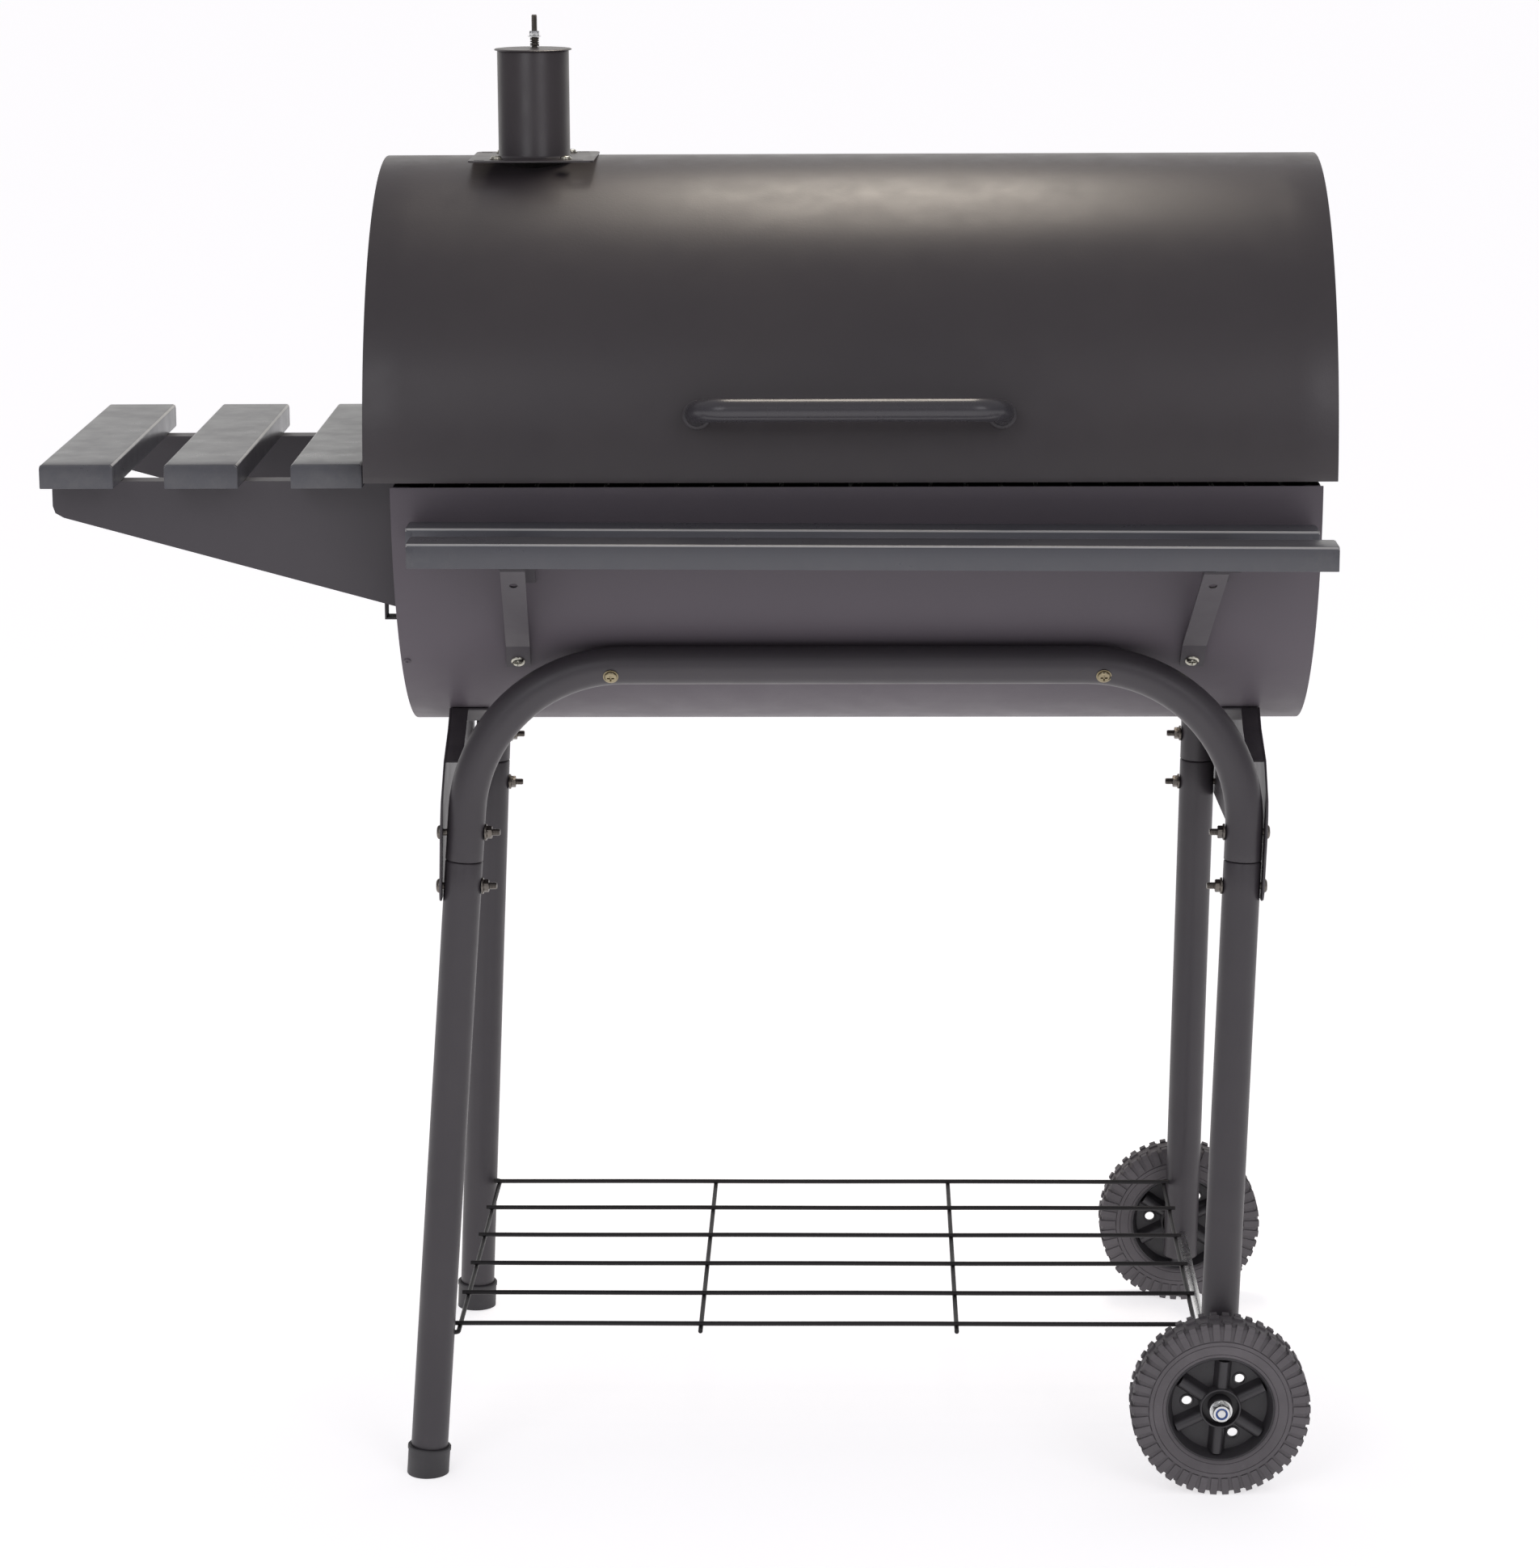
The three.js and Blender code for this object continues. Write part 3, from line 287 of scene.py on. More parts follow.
class Nodes:
    def __init__(self, name):
        self.mat = bpy.data.materials.new(name)
        self.mat.use_nodes = True
        self.t = self.mat.node_tree
        self.bsdf = self.t.nodes["Principled BSDF"]
        self.coord = self.t.nodes.new("ShaderNodeTexCoord")

    def new(self, kind, **inputs):
        n = self.t.nodes.new(kind)
        for key, value in inputs.items():
            n.inputs[key.replace("_", " ")].default_value = value
        return n

    def link(self, a, b):
        self.t.links.new(a, b)

    def noise(self, scale, detail, rough):
        n = self.new("ShaderNodeTexNoise", Scale=scale, Detail=detail, Roughness=rough)
        self.link(self.coord.outputs["Object"], n.inputs["Vector"])
        return n.outputs["Fac"]

    def ramp(self, fac, stops):
        r = self.t.nodes.new("ShaderNodeValToRGB")
        el = r.color_ramp.elements
        while len(el) < len(stops):
            el.new(0.5)
        for e, (pos, col) in zip(el, stops):
            e.position = pos
            e.color = (*col, 1.0)
        self.link(fac, r.inputs["Fac"])
        return r.outputs["Color"]

    def span(self, fac, lo_out, hi_out, lo_in=0.3, hi_in=0.7):
        m = self.new("ShaderNodeMapRange")
        for key, value in (("From Min", lo_in), ("From Max", hi_in), ("To Min", lo_out), ("To Max", hi_out)):
            m.inputs[key].default_value = value
        self.link(fac, m.inputs["Value"])
        return m.outputs["Result"]

    def mix(self, fac, a, b):
        m = self.t.nodes.new("ShaderNodeMix")
        m.data_type = "RGBA"
        for value, key in ((fac, 0), (a, 6), (b, 7)):
            if isinstance(value, tuple):
                m.inputs[key].default_value = (*value, 1.0)
            else:
                self.link(value, m.inputs[key])
        return m.outputs[2]

    def bump(self, height, strength, distance, normal=None):
        b = self.new("ShaderNodeBump", Strength=strength, Distance=distance)
        self.link(height, b.inputs["Height"])
        if normal:
            self.link(normal, b.inputs["Normal"])
        return b.outputs["Normal"]

    def edge(self):
        g = self.t.nodes.new("ShaderNodeNewGeometry")
        return self.span(g.outputs["Pointiness"], 0.0, 1.0, 0.52, 0.62)


def painted_edge_highlight(n, amount):
    """How strongly the painted edge highlight shows: lighter patches along the outside corners."""
    e = n.edge()
    m = n.t.nodes.new("ShaderNodeMath")
    m.operation = "MULTIPLY"
    n.link(e, m.inputs[0])
    n.link(n.span(n.noise(60.0, 4.0, 0.7), 0.0, amount, 0.42, 0.7), m.inputs[1])
    return m.outputs[0]


def paint(name, base, tint, rough, edge_highlight_amount, grain=1.0, specular=0.5):
    """Sprayed satin heat paint: fine orange peel, faint cloudy tint, painted highlights on the edges."""
    n = Nodes(name)
    col = n.ramp(n.noise(5.0, 3.0, 0.5), [(0.32, base), (0.68, tint)])
    light = tuple(c * 1.28 for c in base)
    col = n.mix(n.span(n.noise(2600.0, 2.0, 0.5), 0.0, 0.55, 0.56, 0.74), col, light)
    # painted highlight: a lighter grey on the outside corners and edges
    if edge_highlight_amount:
        col = n.mix(painted_edge_highlight(n, edge_highlight_amount), col, (0.16, 0.155, 0.15))
    n.link(col, n.bsdf.inputs["Base Color"])
    r = n.span(n.noise(38.0, 5.0, 0.6), rough - 0.035, rough + 0.045)
    n.link(r, n.bsdf.inputs["Roughness"])
    peel = n.bump(n.noise(420.0, 2.0, 0.5), 0.10 * grain, 0.0004)
    n.link(n.bump(n.noise(900.0, 2.0, 0.6), 0.16 * grain, 0.00022, peel), n.bsdf.inputs["Normal"])
    n.bsdf.inputs["Specular IOR Level"].default_value = specular
    return n.mat


def plastic(name, base, rough, scale):
    n = Nodes(name)
    col = n.ramp(n.noise(22.0, 4.0, 0.6), [(0.3, base), (0.7, tuple(c * 1.35 for c in base))])
    scuff = n.span(n.noise(140.0, 6.0, 0.75), 0.0, 0.5, 0.60, 0.78)
    col = n.mix(scuff, col, tuple(c * 2.2 for c in base))
    n.link(col, n.bsdf.inputs["Base Color"])
    n.link(n.span(n.noise(60.0, 4.0, 0.6), rough - 0.06, rough + 0.06), n.bsdf.inputs["Roughness"])
    n.link(n.bump(n.noise(scale, 3.0, 0.6), 0.25, 0.0003), n.bsdf.inputs["Normal"])
    return n.mat


def metal(name, base, rough, scale, tint):
    n = Nodes(name)
    col = n.ramp(n.noise(90.0, 4.0, 0.6), [(0.3, base), (0.7, tint)])
    n.link(col, n.bsdf.inputs["Base Color"])
    n.bsdf.inputs["Metallic"].default_value = 1.0
    n.link(n.span(n.noise(240.0, 4.0, 0.6), rough - 0.07, rough + 0.10), n.bsdf.inputs["Roughness"])
    n.link(n.bump(n.noise(scale, 3.0, 0.6), 0.08, 0.0001), n.bsdf.inputs["Normal"])
    return n.mat


# the barrel's paint is over twice as light as the lid's: painted light for the bright floor lighting the
# barrel from below
MATERIALS["paint"] = paint("barrel_paint_with_painted_bounce", (0.098, 0.086, 0.100), (0.106, 0.092, 0.107), 0.46, 0.3, 1.0, 0.24)
MATERIALS["lid_paint"] = paint("lid_paint", (0.041, 0.035, 0.039), (0.046, 0.039, 0.042), 0.36, 0.3)
MATERIALS["frame_paint"] = paint("frame_paint", (0.043, 0.038, 0.044), (0.049, 0.043, 0.049), 0.42, 0.35, 1.2)
MATERIALS["plate_paint"] = paint("plate_paint", (0.053, 0.047, 0.055), (0.059, 0.052, 0.060), 0.44, 0.0)
MATERIALS["slat"] = paint("slat_paint", (0.070, 0.071, 0.083), (0.078, 0.078, 0.088), 0.30, 0.6, 0.6)
# light grey for the slats' rounded edges: a painted highlight, not the coating's own colour
MATERIALS["slat_edge_highlight"] = paint("slat_edge_highlight", (0.34, 0.34, 0.345), (0.42, 0.41, 0.40), 0.30, 0.0, 0.5)
MATERIALS["wire"] = paint("wire_paint", (0.012, 0.011, 0.012), (0.016, 0.014, 0.015), 0.48, 0.0, 0.6, 0.3)
MATERIALS["plastic"] = plastic("hub_plastic", (0.030, 0.028, 0.031), 0.44, 700.0)
MATERIALS["tyre"] = plastic("tyre_plastic", (0.092, 0.084, 0.090), 0.66, 500.0)
MATERIALS["foot"] = plastic("foot_plastic", (0.030, 0.028, 0.031), 0.55, 600.0)
MATERIALS["nylon"] = plastic("nylon_ring", (0.03, 0.08, 0.30), 0.4, 500.0)
MATERIALS["zinc"] = metal("zinc_plating", (0.62, 0.63, 0.64), 0.24, 900.0, (0.74, 0.74, 0.72))
MATERIALS["screw"] = metal("blackened_steel", (0.13, 0.12, 0.11), 0.32, 900.0, (0.19, 0.17, 0.15))
MATERIALS["bright_screw"] = metal("nickel_screw", (0.42, 0.41, 0.36), 0.22, 900.0, (0.55, 0.53, 0.45))
MATERIALS["handle"] = paint("handle_paint", (0.045, 0.043, 0.050), (0.052, 0.048, 0.054), 0.27, 0.0, 0.3)
MATERIALS["brass_screw"] = metal("passivated_screw", (0.26, 0.22, 0.15), 0.32, 900.0, (0.36, 0.31, 0.20))
MATERIALS["grate"] = metal("grate_wire", (0.11, 0.105, 0.10), 0.48, 500.0, (0.17, 0.155, 0.14))


# ---- small hardware --------------------------------------------------------------
def hex_nut(origin, direction, across, height, bore, washer=0.0):
    """Hexagonal nut with chamfered corners, and an optional washer under it."""
    u, w, d = axes_for(direction)
    o = Vector(origin)
    corner = across / math.sqrt(3)
    s = Shape()
    if washer:
        ring = [(bore, 0), (washer, 0), (washer, 1.0), (bore, 1.0)]
        s.join(lathe(ring, origin, direction, 32, closed=True))
        o = o + d * 1.02
    rows = []
    for r_in, t, mode in ((bore, 0, 0), (across / 2, 0, 1), (corner, height * 0.12, 2),
                          (corner, height * 0.88, 2), (across / 2, height, 1), (bore, height, 0)):
        ring = []
        for k in range(48):
            a = 2 * math.pi * k / 48
            sector_a = (a + math.pi / 6) % (math.pi / 3) - math.pi / 6
            flat = (across / 2) / math.cos(sector_a)
            r = r_in if mode == 0 else min(flat, r_in)
            ring.append(o + (u * math.cos(a) + w * math.sin(a)) * r + d * t)
        rows.append(ring)
    return s.join(grid(rows, closed_u=True, closed_v=True))


def thread(origin, direction, length, radius, pitch=1.0, sides=20):
    """Screw thread: the ridge winds round the shank."""
    u, w, d = axes_for(direction)
    o = Vector(origin)
    steps = max(4, int(length / pitch * 6))
    rows = []
    for i in range(steps + 1):
        s = length * i / steps
        ring = []
        for k in range(sides):
            a = 2 * math.pi * k / sides
            phase = (s / pitch + k / sides) % 1.0
            depth = abs(phase - 0.5) * 2 * 0.13 * radius
            r = radius - depth
            if s > length - 0.8:
                r = min(r, radius * 0.82)
            ring.append(o + (u * math.cos(a) + w * math.sin(a)) * r + d * s)
        rows.append(ring)
    shape = grid(rows, closed_u=True)
    n = len(rows)
    shape.f.append(tuple(reversed(range(sides))))
    shape.f.append(tuple(range((n - 1) * sides, n * sides)))
    return shape


def pan_head(origin, outward, radius, height, washer=0.0):
    """Pan-head screw with a sunk cross recess, and an optional washer."""
    u, w, d = axes_for(outward)
    o = Vector(origin)
    s = Shape()
    base = 0.0
    if washer:
        s.join(lathe([(radius * 0.4, 0), (washer, 0), (washer, 0.8), (radius * 0.4, 0.8)], origin, outward,
                     32, closed=True))
        base = 0.8
    arm, half, deep = radius * 0.56, radius * 0.13, height * 0.62
    levels = ((radius, 0.0), (radius, 0.30), (radius * 0.93, 0.62), (radius * 0.78, 0.86),
              (radius * 0.62, 0.97))
    rows = []
    for r, t in levels:
        rows.append([o + (u * math.cos(a) + w * math.sin(a)) * r + d * (base + height * t)
                     for a in [2 * math.pi * k / 48 for k in range(48)]])
    cross = []
    for k in range(48):
        a = 2 * math.pi * k / 48
        q = (a + math.pi / 4) % (math.pi / 2) - math.pi / 4
        reach = min(arm, half / max(abs(math.sin(q)), 1e-3)) if abs(q) < math.radians(38) else half * 1.42
        cross.append((a, max(reach, half * 1.3)))
    top = base + height
    rows.append([o + (u * math.cos(a) + w * math.sin(a)) * r + d * top for a, r in cross])
    rows.append([o + (u * math.cos(a) + w * math.sin(a)) * r * 0.72 + d * (top - deep) for a, r in cross])
    s2 = grid(rows, closed_u=True)
    s2.f.append(tuple(reversed(range(48))))
    s2.f.append(tuple(range((len(rows) - 1) * 48, len(rows) * 48)))
    return s.join(s2)


# ---- barrel and lid ----------------------------------------------------------------
def half_shell(name, r, x0, x1, a0, a1, body, material, replaces):
    """Rolled sheet of even thickness, with softened edges."""
    nx = 24
    xs = [x0 + (x1 - x0) * i / nx for i in range(nx + 1)]
    profile = [(x, r) for x in xs] + [(x, r - SHEET) for x in reversed(xs)]
    return make(name, sector(profile, a0, a1, 120), body, material, replaces, bevel=0.5, angle=40)


def end_panel(name, r, x_out, side, a0, a1, body, material, replaces, trim):
    """Pressed end: flat disc, rounded rim and an inward flange."""
    t = SHEET
    inward = -side
    prof = [(0, 0.001)]
    for k in range(7):
        a = math.radians(90 * k / 6)
        prof.append((3.5 - 3.5 * math.cos(a), r - 3.5 + 3.5 * math.sin(a)))
    prof += [(14, r), (14, r - t), (4, r - t)]
    for k in range(5):
        a = math.radians(90 * (1 - k / 4))
        prof.append((3.5 - 2.0 * math.cos(a), r - 3.5 + 2.0 * math.sin(a)))
    prof.append((t, 0.001))
    prof = [(x_out + inward * x, rad) for x, rad in prof]
    return make(name, sector(prof, a0, a1, 96), body, material, replaces, trim=trim)


rim = math.degrees(math.asin((AXIS_Z - RIM_Z) / BARREL_R))
lid_a = math.degrees(math.asin((AXIS_Z - LID_Z) / LID_R))
half_shell("barrel", BARREL_R, BARREL_X0, BARREL_X1, 180 + rim, 360 - rim, "stand", "paint", ["barrel_shell"])
end_r = BARREL_R - SHEET - 1.05
end_left = end_panel("barrel_left_end", end_r, BARREL_X0 + 2, -1, 178, 362, "stand", "paint",
                     ["barrel_end_left"], ((0, 0, RIM_Z), (0, 0, 1)))
end_panel("barrel_right_end", end_r, BARREL_X1 - 2, 1, 178, 362, "stand", "paint", ["barrel_end_right"],
          ((0, 0, RIM_Z), (0, 0, 1)))
VENT_Z, VENT_R = 755, 13
air_hole = [(0, -12), (VENT_R, -12), (VENT_R, 12), (0, 12)]
cut_with(end_left, [lathe(air_hole, (BARREL_X0 + 2, y, VENT_Z), (1, 0, 0), 48) for y in (-112, -78)])
half_shell("lid", LID_R, LID_X0, LID_X1, -lid_a, 180 + lid_a, "lid", "lid_paint", ["lid_shell"])
STACK_X, STACK_Y = -274.0, (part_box("chimney")[0].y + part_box("chimney")[1].y) * 500 - CENTRE_Y
flue = lathe([(0, 0), (27.5, 0), (27.5, 60), (0, 60)], (STACK_X, STACK_Y, 1075), (0, 0, 1), 64)
cut_with(bpy.data.objects["lid"], [flue])
lid_r = LID_R - SHEET - 1.05
end_panel("lid_left_end", lid_r, LID_X0 + 2, -1, -2, 182, "lid", "lid_paint", ["lid_end_left"],
          ((0, 0, LID_Z), (0, 0, -1)))
end_panel("lid_right_end", lid_r, LID_X1 - 2, 1, -2, 182, "lid", "lid_paint", ["lid_end_right"],
          ((0, 0, LID_Z), (0, 0, -1)))
# the one rivet that shows at the barrel's left edge
y, z = polar(BARREL_R, 222)
make("edge_rivet", pan_head((BARREL_X0 + 5, y, z), Vector((0, y, z - AXIS_Z)), 3.0, 1.4), "stand", "paint")


# ---- stand ---------------------------------------------------------------------------
def frame_end(rear, left):
    """One end of the frame tube: in line with its leg, then round the bend."""
    out = -1 if left else 1
    sgn = 1 if rear else -1
    lean = math.atan(out * leg_lean(rear, left))
    centre_z = TOP_Z - BEND
    tangent_z = centre_z - BEND * math.sin(lean)
    centre_x = leg_x(rear, left, tangent_z) - out * BEND * math.cos(lean)
    low = SPLICE + 0.4
    pts = []
    for k in range(4):
        z = low + (tangent_z - low) * k / 4
        pts.append((leg_x(rear, left, z), sgn * leg_y(z), z))
    for k in range(21):
        a = -lean + (math.pi / 2 + lean) * k / 20
        z = centre_z + BEND * math.sin(a)
        pts.append((centre_x + out * BEND * math.cos(a), sgn * leg_y(z), z))
    return pts


def u_path(rear):
    start, finish = frame_end(rear, True), frame_end(rear, False)
    a, b = Vector(start[-1]), Vector(finish[-1])
    return start + [tuple(a.lerp(b, k / 8)) for k in range(1, 8)] + finish[::-1]


for rear in (False, True):
    tag = "rear" if rear else "front"
    sgn = 1 if rear else -1
    path = u_path(rear)
    radii = [TUBE_R] * len(path)
    lead_in = Vector(path[0]).lerp(Vector(path[1]), 0.05)
    lead_out = Vector(path[-1]).lerp(Vector(path[-2]), 0.05)
    path = [path[0], tuple(lead_in)] + path[1:-1] + [tuple(lead_out), path[-1]]
    radii = [TUBE_R - 0.7] + [TUBE_R] * (len(path) - 2) + [TUBE_R - 0.7]
    make(f"{tag}_frame_tube", sweep(path, radii, 40), "stand", "frame_paint", [f"{tag}_leg_frame"])
    for left in (True, False):
        hand = "left" if left else "right"
        z0 = GROUND + 3.6 if left else AXLE_Z - 24
        a = Vector((leg_x(rear, left, z0), sgn * leg_y(z0), z0))
        b = Vector((leg_x(rear, left, SPLICE), sgn * leg_y(SPLICE), SPLICE))
        n = (b - a).length
        wall = TUBE_R - 1.6
        prof = [(wall, 0), (TUBE_R - 0.4, 0), (TUBE_R, 0.4)]
        prof += [(TUBE_R, n * k / 12) for k in range(1, 12)]
        prof += [(TUBE_R, n - 26), (TUBE_R, n - 1.6), (TUBE_R - 0.35, n - 0.7), (TUBE_R - 1.0, n - 0.2),
                 (wall - 1, n - 0.2), (wall - 1, n + 4), (wall - 2, n + 4), (wall - 2, n - 3), (wall, n - 6)]
        make(f"{tag}_{hand}_leg_tube", lathe(prof, a, b - a, 40, closed=True), "stand", "frame_paint",
             [f"{tag}_{hand}_leg"])
    # foot cap: moulded cup with a lip and a grip rib
    z = GROUND + 24.0
    a = Vector((leg_x(rear, True, GROUND), sgn * leg_y(GROUND), GROUND))
    b = Vector((leg_x(rear, True, z), sgn * leg_y(z), z))
    cap = [(0, -2.5), (16.6, -2.5), (18.0, -0.6), (18.1, 20.6), (18.7, 21.4), (18.7, 24.2), (18.1, 24.9),
           (16.4, 24.9), (16.2, 24), (16.2, 3), (0, 3)]
    make(f"{tag}_foot", lathe(cap, a, b - a, 48), "stand", "foot", [f"{tag}_foot_cap"],
         trim=((0, 0, GROUND), (0, 0, -1)))


def brace(out):
    """End brace: web, saddle under the barrel, turned-in front and rear edges."""
    x, lean, skew = BRACES[out]
    tip = 27
    r = BARREL_R + 0.9
    ty, tz = r * math.sin(math.radians(tip)), AXIS_Z - r * math.cos(math.radians(tip))
    foot = leg_y(SPLICE) + 14
    low, shoulder = SPLICE - 34, 588.0
    half = [(foot - 8, low), (foot - 3, low + 2), (foot, low + 8), (foot, shoulder - 22),
            (foot - 3, shoulder - 6), (foot - 8, shoulder + 6), (foot - 40, shoulder + 34),
            (ty + 22, tz - 14), (ty, tz)]
    angles = [math.radians(tip - 2 * tip * k / 40) for k in range(1, 40)]
    top = [(r * math.sin(a), AXIS_Z - r * math.cos(a)) for a in angles]
    outline = half + top + [(-y, z) for y, z in reversed(half)]
    web = prism(outline, "x", min(x, x + out * 2), max(x, x + out * 2))
    inner = x - out * 32
    xs = [inner, (inner + x) / 2, x + out * 2]
    sad = sector([(q, r) for q in xs] + [(q, r + 2) for q in reversed(xs)], 270 - tip, 270 + tip, 40)
    turn = Matrix(((1, skew, lean, -lean * low), (0, 1, 0, 0), (0, 0, 1, 0), (0, 0, 0, 1)))
    side = "left" if out < 0 else "right"
    make(f"{side}_brace_web", web.moved(turn), "stand", "frame_paint", [f"{side}_end_brace"],
         bevel=0.7, angle=30)
    make(f"{side}_brace_saddle", sad.moved(turn), "stand", "frame_paint", bevel=0.6, angle=40)
    lips = Shape()
    for s in (-1, 1):
        line = [(ty, tz), (ty + 22, tz - 14), (foot - 40, shoulder + 34), (foot - 41.5, shoulder + 32),
                (ty + 21, tz - 16), (ty, tz - 2.4)]
        lips.join(prism([(s * p, q) for p, q in line], "x", min(x - out * 14, x), max(x - out * 14, x)))
    make(f"{side}_brace_lips", lips.moved(turn), "stand", "frame_paint", bevel=0.5, angle=30)


brace(-1)
brace(1)


def splice_bolt(rear, left, level):
    """Bolt through the brace, the leg and its neck, with a collar and a nut inside."""
    z = BOLT_Z[level]
    sgn = 1 if rear else -1
    out = -1 if left else 1
    y = sgn * leg_y(z)
    x_leg = leg_x(rear, left, z)
    web = web_x(out, y, z) + out * 2
    tag = f"{'rear' if rear else 'front'}_{'left' if left else 'right'}_{level}"
    head_x = out * max(out * web, out * (x_leg + out * TUBE_R)) + out * 0.3
    s = pan_head((head_x, y, z), (out, 0, 0), 6.0, 3.0, washer=0.0)
    nut_x = x_leg - out * (TUBE_R + 0.1)
    s.join(sweep([(head_x, y, z), (nut_x, y, z)], 2.9, 20))
    s.join(thread((nut_x, y, z), (-out, 0, 0), 13.0, 3.0))
    make(f"bolt_{tag}", s, "stand", "screw", [f"splice_bolt_{tag}"], weld=False)
    nut = lathe([(3.1, 0), (7.0, 0), (7.0, 1.1), (6.4, 1.7), (3.1, 1.7)], (nut_x - out * 0.2, y, z),
                (-out, 0, 0), 32, closed=True)
    nut.join(hex_nut((nut_x - out * 1.6, y, z), (-out, 0, 0), 9.6, 4.6, 3.1))
    make(f"nut_{tag}", nut, "stand", "screw", weld=False)


for rear in (False, True):
    for left in (True, False):
        for level in ("upper", "lower"):
            splice_bolt(rear, left, level)

# frame-to-barrel screws on the top tubes
for rear in (False, True):
    sgn = 1 if rear else -1
    cx = -11.0 if rear else 0.0
    s = Shape()
    for x in (-204.0, 206.0):
        # below the tube's centre, pointing back at the barrel
        out = Vector((0, sgn * 0.90, -0.43)).normalized()
        p = Vector((cx + x, sgn * TOP_Y, TOP_Z)) + out * (TUBE_R - 0.2)
        s.join(pan_head(p, out, 5.4, 2.4, washer=6.4))
    make(f"{'rear' if rear else 'front'}_frame_screws", s, "stand", "brass_screw", weld=False)


# ---- wheels ------------------------------------------------------------------------------
def wheel(rear):
    sgn = 1 if rear else -1
    tag = "rear" if rear else "front"
    body = f"{tag}_wheel"
    c = (AXLE_X, sgn * WHEEL_Y, AXLE_Z)
    d = (0, 1, 0)
    side = [(46.0, 14.4), (47.2, 15.6), (48.6, 15.9), (49.0, 15.4), (49.4, 16.0), (53.0, 16.9), (56.7, 17.3),
            (57.1, 16.8), (57.5, 17.4), (60.4, 17.5), (61.0, 16.5), (71.0, 16.1), (73.4, 14.6), (74.3, 11.0),
            (74.5, 4.0), (74.5, 0)]
    prof = [(r, -s) for r, s in side] + [(r, s) for r, s in reversed(side[:-1])]
    t = lathe(prof, c, d, 144, closed=True)
    u, w, dd = axes_for(d)
    o = Vector(c)

    def blockring(count, phase, r0, r1, s_in, s_out, fill, taper):
        out = Shape()
        for k in range(count):
            mid = 2 * math.pi * (k + phase) / count
            wid = math.pi / count * fill
            v = []
            corners = ((r0, s_in[0], 1.0), (r0, s_in[1], 1.0), (r1, s_out[0], taper), (r1, s_out[1], taper))
            for r, s, f in corners:
                for e in (-1, 1):
                    a = mid + e * wid * f
                    v.append(o + (u * math.cos(a) + w * math.sin(a)) * r + dd * s)
            out.add(v, [(0, 1, 3, 2), (4, 6, 7, 5), (0, 4, 5, 1), (2, 3, 7, 6), (0, 2, 6, 4), (1, 5, 7, 3)])
        return out

    for e in (-1, 1):
        # radial ridges on the side, blocks on the shoulder, then staggered tread knobs
        t.join(blockring(46, 0.0, 61.5, 72.0, (e * 12.0, e * 17.6), (e * 12.0, e * 17.2), 0.66, 0.92))
        t.join(blockring(46, 0.0, 71.6, 76.0, (e * 9.6, e * 17.2), (e * 9.8, e * 16.4), 0.60, 0.88))
        t.join(blockring(23, 0.25 + 0.25 * e, 73.4, WHEEL_R, (e * 1.2, e * 8.8), (e * 1.6, e * 8.4),
                         0.44, 0.88))
    make(f"{tag}_tyre_body", t, body, "tyre", [f"{tag}_tyre"], weld=False)

    # hub: rim band, web disc with three holes, ring, six ribs, boss
    rim_side = [(46.2, 14.4), (44.6, 15.2), (43.6, 14.0), (41.2, 2.6), (40.4, 1.6), (16, 1.6)]
    h = lathe(rim_side + [(r, -s) for r, s in reversed(rim_side)], c, d, 96, closed=True)
    hub = make(f"{tag}_hub_disc", h, body, "plastic", [f"{tag}_hub"])
    holes = []
    for k in range(3):
        a = math.radians(54 + 120 * k)
        p = (AXLE_X + 28 * math.cos(a), c[1] - 8, AXLE_Z + 28 * math.sin(a))
        holes.append(lathe([(0, 0), (4.3, 0), (4.3, 16), (0, 16)], p, d, 32))
    cut_with(hub, holes)
    extra = Shape()
    for k in range(3):
        a = math.radians(54 + 120 * k)
        p = (AXLE_X + 28 * math.cos(a), c[1], AXLE_Z + 28 * math.sin(a))
        for e in (-1, 1):
            extra.join(lathe([(4.4, e * 1.4), (6.0, e * 1.4), (6.0, e * 2.2), (5.6, e * 2.6), (4.8, e * 2.6),
                              (4.4, e * 2.2)], p, d, 32, closed=True))
    for e in (-1, 1):
        extra.join(lathe([(4.2, e * 2), (17.5, e * 2), (17.5, e * 12.9), (17.1, e * 13.6), (16.0, e * 13.6),
                          (15.6, e * 12.9), (15.2, e * 5.4), (10.4, e * 5.4), (9.8, e * 16.6),
                          (9.0, e * 17.4), (4.2, e * 17.4)], c, d, 64, closed=True))
        for k in range(6):
            a = math.radians(26 + 60 * k)
            ca, sa = math.cos(a), math.sin(a)
            rows = []
            for q in range(9):
                rr = 16 + 25 * q / 8
                ring = []
                for m in range(17):
                    # half-round top on two upright walls, spread a little at the foot
                    b = math.pi * (m - 2) / 12
                    wall = min(m, 16 - m)
                    off = (7.4, 6.0)[wall] * (1 if m < 8 else -1) if wall < 2 else 4.7 * math.cos(b)
                    rise = (0.0, 2.2)[wall] if wall < 2 else 6.4 + 4.7 * math.sin(b)
                    ring.append((AXLE_X + rr * ca - off * sa, c[1] + e * (1.4 + rise),
                                 AXLE_Z + rr * sa + off * ca))
                rows.append(ring)
            g = grid(rows)
            g.f.append(tuple(range(17)))
            g.f.append(tuple(reversed(range(8 * 17, 9 * 17))))
            g.f.append(tuple([q * 17 for q in range(9)] + [q * 17 + 16 for q in reversed(range(9))]))
            extra.join(g)
    make(f"{tag}_hub_ribs", extra, body, "plastic", weld=False)


